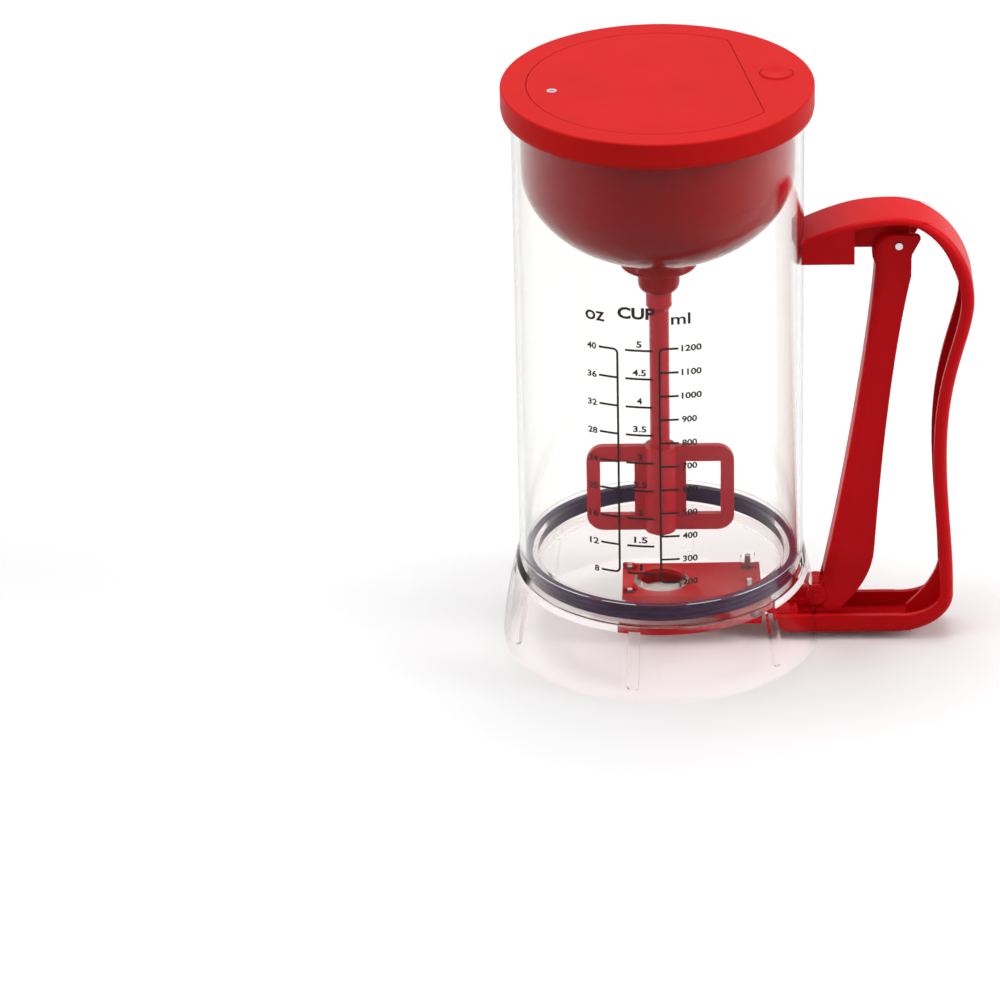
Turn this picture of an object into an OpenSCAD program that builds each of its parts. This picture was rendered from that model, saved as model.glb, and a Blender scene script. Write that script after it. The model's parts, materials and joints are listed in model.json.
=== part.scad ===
// Pancake batter dispenser with a battery mixer in its lid and a trigger valve under its tank.
// Millimetres, +Z up. The tank's axis is Z, the handle points along +X, and the skirt's rim is at z = 0.

/* [Tank] */
// Outside diameter of the clear tank
tank_d = 116; // [108:1:124]
// Wall of the clear tank
tank_wall = 2.5; // [2.2:0.1:3]
// Height of the tank that shows above the skirt
tank_h = 197.3; // [185:0.5:215]
// Length of the tank's lower end inside the skirt
lap_h = 10.5; // [8:0.5:12]
// Wall of the tank's lower end
lap_wall = 1.3; // [1:0.1:1.6]

/* [Skirt] */
// Height of the flared skirt
skirt_h = 41; // [39:0.5:45]
// How far the skirt's rim stands out past the tank
skirt_flare = 7; // [5:0.5:10]
// Shape of the flare, 1 is a straight cone
flare_power = 1.5; // [1.2:0.1:2]
// Wall of the skirt
skirt_wall = 2.2; // [1.8:0.1:2.6]
// Number of ribs inside the skirt
rib_count = 6; // [3:1:6]
// Width of a rib
rib_w = 4.8; // [3:0.2:6]
// How far a rib stands in from the skirt's wall
rib_depth = 1.8; // [1:0.2:3]
// Turn of the first rib from the handle
rib_turn = 19; // [17:1:23]
// Thickness of the ledge that carries the tank and its floor
ledge_t = 2.1; // [1.6:0.1:2.6]
// Radial width of that ledge
ledge_w = 7; // [5:0.5:8]

/* [Floor and outlet] */
// Thickness of the floor's flange under the seal
flange_t = 2.9; // [2:0.1:3.5]
// Thickness of the funnel
funnel_t = 2.5; // [2:0.1:3]
// How far the funnel drops to the outlet
funnel_drop = 8.4; // [6:0.2:9]
// Bore of the outlet
outlet_d = 18; // [14:1:20]
// Wall of the outlet spout
spout_wall = 2.5; // [2:0.1:3]
// Radial width of the ring seal
seal_w = 2.8; // [2.4:0.1:3.4]
// Height of the ring seal
seal_h = 6.6; // [5:0.2:8]

/* [Valve] */
// Height of the valve gate's underside above the surface
gate_z = 12.5; // [12.2:0.1:13]
// Thickness of the gate
gate_t = 2.5; // [2:0.1:3]
// Overlap of the gate past the outlet's bore on each side
gate_lap = 4; // [3:0.5:5]
// Thickness of the silicone pad
pad_t = 1.5; // [1:0.1:2]
// Width of the arm from the gate to the trigger
arm_w = 8; // [7:0.5:9]
// Height of the arm's web
arm_h = 7; // [5:0.2:7.2]
// Thickness of the guide's plate, rails and lips
guide_t = 2; // [1.8:0.1:2.4]
// Diameter of the guide's screws
guide_screw_d = 2.6; // [2:0.2:3]

/* [Lid] */
// Outside diameter of the lid over the tank's diameter
lid_over = 8; // [7:0.1:9]
// Height of the lid
lid_h = 10.5; // [9:0.5:12]
// Thickness of the lid's top
lid_t = 2.5; // [2.2:0.1:3]
// Radius of the lid's rounded edge
lid_edge = 0.8; // [0.6:0.2:2.2]
// Gap all round between the lid and the tank
lid_fit = 0.4; // [0.3:0.1:0.6]
// Turn of the button and battery cover from the handle
lid_turn = 10; // [0:0.5:20]
// Distance of the battery cover's opening in from the tank's side
bay_in = 6.2; // [5.8:0.1:8]
// Width of the web between the opening's straight side and the button
bay_web = 5.5; // [4.5:0.25:7]
// Radius of the opening's two corners
bay_corner = 3; // [2:0.5:5]
// Gap round the battery cover
cover_gap = 0.3; // [0.25:0.05:0.5]
// Distance of the button's centre in from the tank's side
button_in = 10.2; // [10:0.1:11.9]
// Diameter of the button
button_d = 12.9; // [11:0.1:13.5]
// How far the button stands out of the lid
button_proud = 0.5; // [0.3:0.1:1]
// Travel of the button
button_travel = 1.5; // [1:0.1:1.6]
// Distance of the cover's screw in from the opening's edge
cover_screw_in = 9.8; // [9:0.2:13.8]
// Head diameter of the cover's screw
cover_screw_d = 4; // [3:0.2:5]

/* [Mixer] */
// Gap all round between the motor bowl and the tank's inside
bowl_gap = 1.1; // [0.8:0.1:2]
// Straight height of the bowl's wall below the lid
bowl_wall_h = 30.2; // [28:0.5:34]
// Depth of the bowl's round bottom
bowl_depth = 40.6; // [38:0.5:44]
// Thickness of the bowl
bowl_t = 2.2; // [1.8:0.1:2.4]
// Diameter of the flange under the bowl
collar_d = 30.6; // [28:0.2:34]
// Height of the collar below the bowl
collar_h = 15.6; // [13:0.2:17]
// Height of the flange's edge below the bowl
collar_drop = 4.4; // [3.4:0.2:5]
// Diameter of the collar's cup
cup_d = 16.8; // [15:0.2:20]
// Diameter of the sleeve on the mixing shaft
sleeve_d = 10.4; // [9:0.2:12]
// How far the sleeve shows below the collar
sleeve_h = 6.7; // [5:0.1:10]
// Diameter of the mixing shaft
shaft_d = 8; // [6:0.2:8.6]
// Height of the shaft's lower end above the surface
shaft_end_z = 45; // [44:0.5:52]
// Width of the mixing paddle
paddle_w = 60; // [44:2:80]
// Height of the mixing paddle
paddle_h = 38; // [28:1:46]
// Thickness of the mixing paddle
paddle_t = 2.6; // [2:0.2:3.6]
// Width of the paddle's bars
paddle_bar = 7; // [5:0.5:8]
// Diameter of the motor
motor_d = 24.4; // [20:0.2:27]
// Length of the motor
motor_h = 25; // [20:0.5:27]
// Diameter of a battery
battery_d = 14.5; // [14:0.1:14.5]
// Length of a battery with its nub
battery_l = 50.5; // [49.5:0.1:50.5]

/* [Handle] */
// Width of the grip
grip_w = 23.2; // [21:0.2:24]
// Width of the block at the tank
block_w = 26; // [24:0.5:28]
// Farthest reach of the grip from the tank's side
grip_out = 67.8; // [64:0.2:74]
// Height of that farthest point
grip_reach_z = 151; // [146:0.5:156]
// Reach of the grip's waist
waist_out = 57.8; // [56:0.2:60]
// Height of the waist
waist_z = 86; // [76:1:96]
// Reach of the handle's heel
heel_out = 61.3; // [59:0.2:66]
// Height and length of the heel's round corner
heel_rise = 17; // [14:0.5:20]
heel_run = 24; // [18:0.5:26]
// Height of the bar's underside above the surface
bar_z = 2.7; // [1.5:0.1:3]
// Height of the bar's sides
bar_depth = 8.7; // [8.5:0.1:9]
// Height of the arch at its top
arch_z = 188.8; // [186:0.2:192]
// Distance of the arch's top from the tank's side
arch_out = 36; // [32:0.5:40]
// Height of the arch where it meets the tank
arch_root_z = 180; // [179:0.2:182]
// Height of the block's underside
block_z = 169.8; // [168:0.2:170]
// Length of the block out from the tank's side
block_l = 19.7; // [16:0.1:20]
// Depth of the grip's side flanges
grip_depth = 5.4; // [5:0.2:7]
// Thickness of the handle's outer skin
skin_t = 2.5; // [2:0.1:3]
// Thickness of the handle's side walls
side_t = 2.2; // [1.8:0.1:2.4]
// Thickness of the block's wall against the tank
saddle_t = 2.2; // [1.5:0.1:2.6]
// Reach of the handle's foot inward from the tank's side
foot_in = 12.5; // [10:0.5:13]
// Radius of the foot's lower inner corner
foot_round = 8; // [5:0.5:8.5]

/* [Trigger] */
// Distance of the trigger's pivot from the tank's side
pivot_out = 37.5; // [37:0.1:38.5]
// Depth of the pivot below the arch's top
pivot_drop = 13.5; // [13:0.1:14]
// Diameter of the pivot pin and of the link pin
pin_d = 3; // [2.6:0.1:3.2]
// Thickness of the pivot lug under the arch
lug_t = 5.4; // [4:0.2:5.6]
// Width of the trigger
trigger_w = 16; // [15:0.2:16.6]
// Width of the trigger's lower end
clevis_w = 13.2; // [12.8:0.2:13.6]
// Wall of the trigger
trigger_t = 2.2; // [1.8:0.1:2.2]
// Distance of the link pin from the tank's side
link_out = 5.5; // [4.5:0.1:6]
// Height of the link pin
link_z = 18.4; // [17.8:0.1:18.6]
// How far the trigger's face stands in front of its pivot
face_out = 9.3; // [8.6:0.1:9.6]
// How far the trigger's knee stands behind the link pin
knee_out = 23.6; // [20:0.1:26]
// Height of the knee above the link pin
knee_rise = 24; // [18:1:28]
// Turn of the trigger from rest to fully pulled, in degrees
trigger_pull = 9; // [6:0.5:9]
// Wire of the trigger's spring
spring_wire = 0.8; // [0.6:0.1:0.9]

/* [Hidden] */

$fn = 96;
// Gap between fixed pieces, and across a moving joint
fixed_gap = 0.1;
moving_gap = 0.3;
// Running clearance of a pin in its hole
pin_run = 0.06;
// Extra length that carries a cut past a face
over = 1;
// Steps in a smooth outline
curve_steps = 12;
// How far a small screw's head stands out past its shank, the head's height, and the room beside it
head_over = 1;
head_gap = 1;
head_h = 1.4;

// Tank and skirt
tank_r = tank_d / 2;
tank_in = tank_r - tank_wall;
tank_top = skirt_h + tank_h;
lap_r = tank_in + lap_wall;
ledge_z = skirt_h - lap_h;
function skirt_r(z) = tank_r + skirt_flare * (1 - pow(z / skirt_h, flare_power));
rib_z = 4;

// Floor
floor_r = tank_in - 2 * fixed_gap;
rim_r = tank_in - seal_w - fixed_gap;
floor_top = ledge_z + flange_t;
rim_in = rim_r - 2.2;
rim_top = floor_top + seal_h - 0.8;
outlet_r = outlet_d / 2;
spout_r = outlet_r + spout_wall;
funnel_edge = rim_in - funnel_t;
funnel_low = floor_top - funnel_drop;
spout_top_under = funnel_low - funnel_t;
spout_z = gate_z + gate_t + pad_t + moving_gap;
function funnel_under(r) =
    spout_top_under + (ledge_z - spout_top_under) * (r - spout_r) / (funnel_edge - spout_r);

// Valve: the gate covers the outlet and slides out along X by the link pin's travel
gate_half = outlet_r + gate_lap;
pivot_x = tank_r + pivot_out;
pivot_z = arch_z - pivot_drop;
link_x = tank_r + link_out;
link_dx = link_x - pivot_x;
link_dz = link_z - pivot_z;
link_travel = link_dx * cos(trigger_pull) - link_dz * sin(trigger_pull) - link_dx;
link_drop = link_dz - (link_dx * sin(trigger_pull) + link_dz * cos(trigger_pull));
pin_r = pin_d / 2;
guide_top = spout_top_under;
guide_low = guide_top - guide_t;
rail_in = gate_half + moving_gap;
rail_out = rail_in + guide_t;
guide_x0 = -gate_half - 3;
guide_x1 = gate_half + link_travel + 3;
guide_screw_x = [-gate_half, gate_half + link_travel - 2];
guide_screw_y = rail_in - guide_screw_d / 2 - head_over - fixed_gap;
boss_r = guide_screw_d / 2 + 1.7;
eye_half = 4;
eye_r = eye_half + 0.6;
slot_half = pin_r + 0.15;

// Handle
grip_reach = tank_r + grip_out;
waist_reach = tank_r + waist_out;
heel_reach = tank_r + heel_out;
arch_x = tank_r + arch_out;
grip_half = grip_w / 2;
block_half = block_w / 2;
block_x = tank_r + block_l;
foot_x = tank_r - foot_in;
bar_top = bar_z + bar_depth;
saddle_r = tank_r + fixed_gap;
saddle_h = arch_root_z - block_z - over;
lug_z = pivot_z - pin_r - 1.2;
lug_x1 = pivot_x + pin_r + 3;
tank_lug_x = tank_r + 8;
// Height of the shelf's underside and of the tank's lug above the block's underside
shelf_lift = 1.5;
tank_lug_z0 = block_z + shelf_lift + 2.2;
tank_lug_z1 = arch_root_z - skin_t - 1;
tank_lug_half = 5;
handle_screw_d = 2.8;
tank_screw_x = tank_r + saddle_t + handle_screw_d / 2 + head_over + head_gap;
foot_screw_x = tank_r - 5;
foot_screw_r = 1.2;
foot_boss_r = foot_screw_r + 1.2;
foot_head_r = foot_screw_r + 0.8;
foot_screw_y = grip_half - side_t - foot_boss_r;
tongue_z = bar_top + moving_gap;
tongue_t = 2.5;
tongue_in = arm_w / 2 + 2 * moving_gap;
tongue_w = foot_screw_y + foot_boss_r - tongue_in;

// Trigger
trigger_half = trigger_w / 2;
clevis_half = clevis_w / 2;
// Lower end of the trigger's front wall, clear of the valve arm's eye when fully pulled
front_low = link_z + link_drop + eye_r + 3 * moving_gap;

// Lid
lid_r = tank_r + lid_over / 2;
lid_in = tank_r + lid_fit;
lid_under = tank_top + 2.5;
lid_top = lid_under + lid_t;
lid_low = lid_top - lid_h;
button_r = button_d / 2;
button_x = tank_r - button_in;
bay_r = tank_r - bay_in;
bay_chord = button_x - button_r - bay_web;
cover_screw_x = bay_r - cover_screw_in;
cover_r = bay_r - cover_gap;
cover_chord = bay_chord - cover_gap;
cover_corner = bay_corner - cover_gap;
shelf_w = 3;
shelf_t = 2;
button_hole_r = button_r + moving_gap;
button_cap = 2.2;
button_top = lid_top + button_proud;
stem_r = 3.2;
guide_plate_z = lid_under - 4.8;
guide_plate_t = 1.5;
button_low = guide_plate_z - 1;
cover_screw_r = cover_screw_d / 2;
cover_shank_r = 1.3;
cover_screw_l = 6.4;
screw_boss_h = 6;
screw_boss_r = 4;

// Mixer
bowl_r = tank_in - bowl_gap;
bowl_in = bowl_r - bowl_t;
bowl_bend = lid_under - bowl_wall_h;
bowl_low = bowl_bend - bowl_depth;
function bowl_z(r, bend, depth, radius) = bend - depth * sqrt(1 - r * r / (radius * radius));
collar_r = collar_d / 2;
collar_low = bowl_low - collar_h;
sleeve_r = sleeve_d / 2;
sleeve_low = collar_low - sleeve_h;
shaft_r = shaft_d / 2;
sleeve_top = bowl_low + bowl_t + 3;
// Height of the deck under the batteries above the bend of the bowl
deck_lift = 7;
deck_z = bowl_bend + deck_lift;
deck_t = 2;
deck_r = bowl_in - fixed_gap;
deck_shelf = 3;
motor_r = motor_d / 2;
// Gap between the motor and the deck over it
motor_drop = 4;
motor_low = deck_z - motor_h - motor_drop;
motor_shaft_r = 1.5;
motor_nose_r = 4;
motor_wall = 6;
bracket_t = 2;
bracket_ring = 8;
bracket_r = motor_r + bracket_ring;
bracket_post_r = 3;
post_x = bracket_r - bracket_post_r;
battery_r = battery_d / 2;
battery_pitch = battery_d + 0.8;
battery_z = deck_z + deck_t + battery_r + 1.2;
tray_wall = 1.6;
tray_x = 2 * battery_pitch + tray_wall;
contact_t = 0.5;
tray_y = battery_l / 2 + contact_t + 2 * fixed_gap + tray_wall;
// Gap between the tray's far corners and the bowl, and the cells' middle that it gives
tray_gap = 2;
battery_mid_x = tray_x + tray_gap - sqrt(deck_r * deck_r - tray_y * tray_y);
switch_half = 4.8;
// How far the switch's box stands in from its plunger
switch_in = 2.4;
switch_z = button_low - button_travel - 1;
switch_h = 4;

function arc(cx, cy, r, a0, a1, n = curve_steps) =
    [for (i = [0:n]) let (a = a0 + (a1 - a0) * i / n) [cx + r * cos(a), cy + r * sin(a)]];
function bezier(a, b, c, d, n = curve_steps) =
    [for (i = [0:n]) let (t = i / n, u = 1 - t)
        u * u * u * a + 3 * u * u * t * b + 3 * u * t * t * c + t * t * t * d];
function unit(v) = v / norm(v);
function reverse(list) = [for (i = [len(list) - 1:-1:0]) list[i]];
// Direction of a path at one of its points
function heading(path, i) = unit(path[min(i + 1, len(path) - 1)] - path[max(i - 1, 0)]);
// A path moved to its right by a distance for each point
function beside(path, depth) =
    [for (i = [0:len(path) - 1]) let (h = heading(path, i)) path[i] + depth[i] * [h[1], -h[0]]];

// Tube along a path in space: rings of a regular outline, with flat ends
module tube(path, r, sides, axis) {
    last = len(path) - 1;
    rings = [for (i = [0:last])
        let (t = heading(path, i), n = unit(cross(t, axis)), b = cross(n, t))
        for (k = [0:sides - 1]) path[i] + r * (n * cos(360 * k / sides) + b * sin(360 * k / sides))];
    walls = [for (i = [0:last - 1], k = [0:sides - 1])
        let (a = i * sides + k, b = i * sides + (k + 1) % sides)
        [a, b, b + sides, a + sides]];
    ends = [[for (k = [sides - 1:-1:0]) k], [for (k = [0:sides - 1]) last * sides + k]];
    polyhedron(rings, concat(walls, ends));
}

// A side view drawn in X and Z, given a width in Y about the middle
module side_view(width) {
    rotate([90, 0, 0]) linear_extrude(width, center = true) children();
}

module at_lid_turn() {
    rotate([0, 0, lid_turn]) children();
}

// ---------------------------------------------------------------- tank, skirt and floor

module tank() {
    color([0.93, 0.94, 0.95, 0.4]) difference() {
        union() {
            rotate_extrude() polygon([
                [tank_in, ledge_z], [lap_r, ledge_z], [lap_r, skirt_h], [tank_r, skirt_h],
                [tank_r, tank_top - 0.6], [tank_r - 0.6, tank_top], [tank_in, tank_top]
            ]);
            translate([tank_r - over, -tank_lug_half, tank_lug_z0])
                cube([tank_lug_x - tank_r + over, 2 * tank_lug_half, tank_lug_z1 - tank_lug_z0]);
        }
        translate([tank_screw_x, 0, tank_lug_z0 - over])
            cylinder(h = tank_lug_z1 - tank_lug_z0, d = handle_screw_d + 2 * fixed_gap);
    }
}

module skirt_section(inset_out, inset_in, z0, z1) {
    steps = [for (i = [0:curve_steps]) z0 + (z1 - z0) * i / curve_steps];
    polygon(concat(
        [for (z = steps) [skirt_r(z) - inset_out, z]],
        [for (z = reverse(steps)) [skirt_r(z) - inset_in, z]]
    ));
}

module skirt_ribs() {
    intersection() {
        rotate_extrude()
            skirt_section(skirt_wall / 2, skirt_wall + rib_depth, rib_z, ledge_z - ledge_t / 2);
        for (k = [0:rib_count - 1]) rotate([0, 0, rib_turn + 360 / rib_count * k])
            rotate([90, 0, 90]) linear_extrude(tank_r + skirt_flare) {
                translate([0, rib_z + rib_w / 2]) circle(d = rib_w);
                translate([-rib_w / 2, rib_z + rib_w / 2]) square([rib_w, ledge_z]);
            }
    }
}

module base_skirt() {
    color([0.95, 0.93, 0.94, 0.4]) difference() {
        union() {
            rotate_extrude() skirt_section(0, skirt_wall, 0, ledge_z);
            rotate_extrude() polygon(concat(
                [[lap_r + fixed_gap, skirt_h], [lap_r + fixed_gap, ledge_z]],
                [[lap_r - ledge_w, ledge_z], [lap_r - ledge_w, ledge_z - ledge_t]],
                [[skirt_r(ledge_z - ledge_t) - skirt_wall / 2, ledge_z - ledge_t]],
                [for (i = [0:curve_steps]) let (z = ledge_z - ledge_t + (lap_h + ledge_t) * i / curve_steps)
                    [skirt_r(z), z]]
            ));
            skirt_ribs();
        }
        translate([tank_r - ledge_w, -grip_half - moving_gap, -over])
            cube([ledge_w + skirt_flare + over, grip_w + 2 * moving_gap, bar_top + moving_gap + over]);
        translate([tank_r - ledge_w, -clevis_half - 2 * moving_gap, 0])
            cube([ledge_w + skirt_flare + over, clevis_w + 4 * moving_gap, link_z + eye_half + 1.2]);
    }
}

module tank_floor() {
    color([0.92, 0.93, 0.95, 0.5]) difference() {
        union() {
            rotate_extrude() polygon([
                [outlet_r, spout_z], [outlet_r, funnel_low], [rim_in, floor_top], [rim_in, rim_top],
                [rim_r, rim_top], [rim_r, floor_top], [floor_r, floor_top], [floor_r, ledge_z],
                [funnel_edge, ledge_z], [spout_r, spout_top_under], [spout_r, spout_z]
            ]);
            for (x = guide_screw_x, y = [-guide_screw_y, guide_screw_y]) translate([x, y, guide_top])
                cylinder(h = funnel_under(norm([x, y])) - guide_top + funnel_t / 2, r = boss_r);
        }
        for (x = guide_screw_x, y = [-guide_screw_y, guide_screw_y]) translate([x, y, guide_top - over])
            cylinder(h = funnel_under(norm([x, y])) - guide_top + over + 0.4, d = guide_screw_d);
    }
}

module base_seal() {
    color([0.2, 0.13, 0.26]) rotate_extrude() difference() {
        translate([rim_r + fixed_gap, floor_top]) square([seal_w - 2 * fixed_gap + 0.05, seal_h]);
        for (k = [1, 2]) translate([tank_in, floor_top + seal_h * k / 3]) circle(r = 0.7, $fn = 32);
    }
}

// ---------------------------------------------------------------- valve

module valve_guide() {
    color([0.85, 0.1, 0.13]) difference() {
        union() {
            translate([guide_x0, -rail_out, guide_low])
                cube([guide_x1 - guide_x0, 2 * rail_out, guide_t]);
            for (side = [-1, 1]) {
                translate([guide_x0, side > 0 ? rail_in : -rail_out, gate_z - moving_gap - guide_t])
                    cube([guide_x1 - guide_x0, guide_t, guide_top - gate_z + moving_gap]);
                translate([guide_x0, side > 0 ? rail_in - guide_t : -rail_out, gate_z - moving_gap - guide_t])
                    cube([guide_x1 - guide_x0, 2 * guide_t, guide_t]);
                translate([guide_x1 - guide_t, side > 0 ? tongue_in : -rail_out, tongue_z])
                    cube([guide_t, rail_out - tongue_in, tongue_t]);
                translate([guide_x1 - guide_t, side > 0 ? tongue_in : -tongue_in - tongue_w, tongue_z])
                    cube([foot_screw_x + foot_boss_r - guide_x1 + guide_t, tongue_w, tongue_t]);
            }
        }
        translate([0, 0, guide_low - over]) cylinder(h = guide_t + 2 * over, r = spout_r + fixed_gap);
        for (y = [-foot_screw_y, foot_screw_y]) translate([foot_screw_x, y, tongue_z - over])
            cylinder(h = tongue_t + 2 * over, r = foot_screw_r + fixed_gap);
        for (x = guide_screw_x, y = [-guide_screw_y, guide_screw_y]) translate([x, y, guide_low - over])
            cylinder(h = guide_t + 2 * over, d = guide_screw_d + 2 * fixed_gap);
    }
}

module guide_screws() {
    color([0.75, 0.76, 0.78])
        for (x = guide_screw_x, y = [-guide_screw_y, guide_screw_y]) translate([x, y, guide_low]) {
            cylinder(h = guide_t + funnel_under(norm([x, y])) - guide_top, d = guide_screw_d - 0.1);
            translate([0, 0, -head_h]) cylinder(h = head_h, r = guide_screw_d / 2 + head_over);
        }
}

module valve_slide() {
    color([0.8, 0.09, 0.13]) difference() {
        union() {
            translate([-gate_half, -gate_half, gate_z]) cube([2 * gate_half, 2 * gate_half, gate_t]);
            translate([0, -arm_w / 2, gate_z]) cube([link_x, arm_w, gate_t]);
            translate([gate_half + 2, -gate_t / 2, gate_z]) cube([link_x - gate_half - 2, gate_t, arm_h]);
            side_view(arm_w) union() {
                translate([link_x, link_z]) circle(r = eye_r);
                translate([link_x - eye_half, gate_z]) square([2 * eye_half, link_z - gate_z]);
            }
        }
        side_view(arm_w + 2 * over) union() {
            translate([link_x, link_z]) circle(r = slot_half);
            translate([link_x, link_z - link_drop - 0.3]) circle(r = slot_half);
            translate([link_x - slot_half, link_z - link_drop - 0.3])
                square([2 * slot_half, link_drop + 0.3]);
        }
    }
}

module valve_pad() {
    color([0.9, 0.88, 0.86]) translate([0, 0, gate_z + gate_t]) {
        cylinder(h = pad_t - 0.4, r = spout_r + 1);
        cylinder(h = pad_t, r = spout_r);
    }
}

// ---------------------------------------------------------------- handle

// The handle's outer line, from the tank over the arch, down the grip and back along the bar
arch_line = bezier([tank_r, arch_root_z], [tank_r + 12, arch_root_z + 5.5],
    [arch_x - 14, arch_z], [arch_x, arch_z]);
shoulder_line = bezier([arch_x, arch_z], [arch_x + 0.55 * (grip_reach - arch_x), arch_z],
    [grip_reach, grip_reach_z + 0.55 * (arch_z - grip_reach_z)], [grip_reach, grip_reach_z]);
grip_line = bezier([grip_reach, grip_reach_z], [grip_reach, grip_reach_z - 15],
    [waist_reach, waist_z + 35], [waist_reach, waist_z]);
shank_line = bezier([waist_reach, waist_z], [waist_reach, waist_z - 24],
    [heel_reach, bar_z + heel_rise + 22], [heel_reach, bar_z + heel_rise]);
heel_line = [for (i = [0:curve_steps]) let (a = 90 * i / curve_steps)
    [heel_reach - heel_run * (1 - cos(a)), bar_z + heel_rise * (1 - sin(a))]];
foot_line = arc(foot_x + foot_round, bar_z + foot_round, foot_round, -90, -180);
function tail(list) = [for (i = [1:len(list) - 1]) list[i]];
grip_path = concat(arch_line, tail(shoulder_line), tail(grip_line), tail(shank_line), tail(heel_line));
outer_line = concat(grip_path, foot_line);
// The side flange is thin along the arch, deeper in the grip and deepest along the bar
shoulder_at = len(arch_line) - 1;
grip_at = shoulder_at + curve_steps;
heel_at = shoulder_at + 3 * curve_steps;
function ramp(i, i0, i1, a, b) = a + (b - a) * min(1, max(0, (i - i0) / (i1 - i0)));
flange_depth = [for (i = [0:len(grip_path) - 1])
    i < grip_at ? ramp(i, shoulder_at + 2, grip_at - 4, skin_t, grip_depth)
                : ramp(i, heel_at, heel_at + curve_steps, grip_depth, bar_depth)];
inner_line = beside(grip_path, flange_depth);
skin_line = beside(outer_line, [for (p = outer_line) skin_t]);
function line_z(line, x) = let (
    spans = [for (i = [0:shoulder_at]) if (line[i][0] <= x && line[i + 1][0] > x) i],
    p = line[spans[0]], q = line[spans[0] + 1]
) p[1] + (q[1] - p[1]) * (x - p[0]) / (q[0] - p[0]);

module handle_side() {
    polygon(concat(outer_line, [[foot_x, bar_top]], reverse(inner_line)));
    polygon(concat(
        [[tank_r - 8, block_z], [tank_r - 8, arch_root_z], [tank_r, arch_root_z]],
        [for (p = arch_line) if (p[0] > tank_r && p[0] < block_x) p],
        [[block_x, line_z(outer_line, block_x)], [block_x, block_z]]
    ));
}

module handle_hollow() {
    polygon(concat(
        [[tank_r - 8, block_z - over], [tank_r - 8, arch_root_z - skin_t - 3]],
        skin_line,
        [[foot_x + skin_t, block_z - over]]
    ));
}

// Plan outline of the handle: wide at the tank, narrow from the shoulder on
module handle_plan(inset) {
    half0 = block_half - inset;
    half1 = grip_half - inset;
    polygon([
        [0, -half0], [block_x, -half0], [arch_x + 8, -half1], [grip_reach + over, -half1],
        [grip_reach + over, half1], [arch_x + 8, half1], [block_x, half0], [0, half0]
    ]);
}

module handle_shell(inset) {
    intersection() {
        children();
        translate([0, 0, block_z / 2]) linear_extrude(arch_z) handle_plan(inset);
    }
    intersection() {
        children();
        translate([foot_x - over, -grip_half + inset, -over])
            cube([grip_reach, grip_w - 2 * inset, block_z / 2 + over + 0.01]);
    }
}

// Web in the heel, from the grip down into the bar
gusset_top = [heel_reach - grip_depth - 0.6, bar_z + 28];
gusset_end = [heel_reach - 19, bar_z + 8];
gusset_line = bezier(gusset_top, gusset_top - [1.5, 8], gusset_end + [5, 4.5], gusset_end);
module gusset() {
    intersection() {
        side_view(2.4) polygon(concat(
            [gusset_top + [grip_depth - 1, 0]], gusset_line,
            [[gusset_end[0], bar_z + 1], [gusset_top[0] + grip_depth - 1, bar_z + 1]]
        ));
        side_view(block_w) polygon(concat([[tank_r, grip_reach_z]], skin_line, [[foot_x, grip_reach_z]]));
    }
}

// Shelf inside the block that the tank's lug is screwed down to
module block_shelf() {
    intersection() {
        difference() {
            translate([tank_r, -block_half + side_t / 2, block_z + shelf_lift])
                cube([tank_lug_x - tank_r + shelf_w, block_w - side_t,
                    tank_lug_z0 - fixed_gap - block_z - shelf_lift]);
            translate([0, 0, block_z]) cylinder(h = saddle_h, r = saddle_r);
        }
        translate([0, 0, block_z]) linear_extrude(saddle_h) handle_plan(side_t / 2);
    }
}

module pivot_lug() {
    side_view(lug_t) polygon(concat(
        [[block_x - side_t, lug_z], [block_x - side_t, line_z(skin_line, block_x - side_t) + 0.5]],
        [for (p = arch_line) if (p[0] > block_x && p[0] < lug_x1) p - [0, skin_t / 2]],
        [[lug_x1, arch_z - skin_t / 2], [lug_x1, lug_z]]
    ));
}

// Wall of the block that lies on the tank
module saddle() {
    intersection() {
        difference() {
            translate([0, 0, block_z]) cylinder(h = saddle_h, r = saddle_r + saddle_t);
            translate([0, 0, block_z - over]) cylinder(h = saddle_h + 2 * over, r = saddle_r);
        }
        translate([0, -block_half, block_z]) cube([tank_d, block_w, saddle_h]);
    }
}

module handle_frame() {
    color([0.85, 0.1, 0.13]) difference() {
        union() {
            difference() {
                handle_shell(0) side_view(2 * block_w) handle_side();
                handle_shell(side_t) side_view(2 * block_w) handle_hollow();
                translate([0, 0, skirt_h]) cylinder(h = arch_z, r = saddle_r);
            }
            saddle();
            gusset();
            pivot_lug();
            block_shelf();
            for (y = [-foot_screw_y, foot_screw_y]) translate([foot_screw_x, y, bar_z + skin_t / 2])
                cylinder(h = tongue_z - bar_z - skin_t / 2, r = foot_boss_r);
        }
        translate([pivot_x, 0, pivot_z]) rotate([90, 0, 0])
            cylinder(h = block_w, r = pin_r + 0.02, center = true);
        translate([tank_screw_x, 0, block_z])
            cylinder(h = tank_lug_z0 - block_z + over, d = handle_screw_d + 2 * fixed_gap);
        translate([tank_r - over, -tank_lug_half - fixed_gap, tank_lug_z0 - fixed_gap])
            cube([saddle_t + 2 * over, 2 * (tank_lug_half + fixed_gap), tank_lug_z1 - tank_lug_z0 + 2 * fixed_gap]);
        for (y = [-foot_screw_y, foot_screw_y]) translate([foot_screw_x, y, 0]) {
            cylinder(h = tongue_z + over, r = foot_screw_r + fixed_gap);
            cylinder(h = bar_z + head_h + 2 * fixed_gap, r = foot_head_r + fixed_gap);
        }
    }
}

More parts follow.
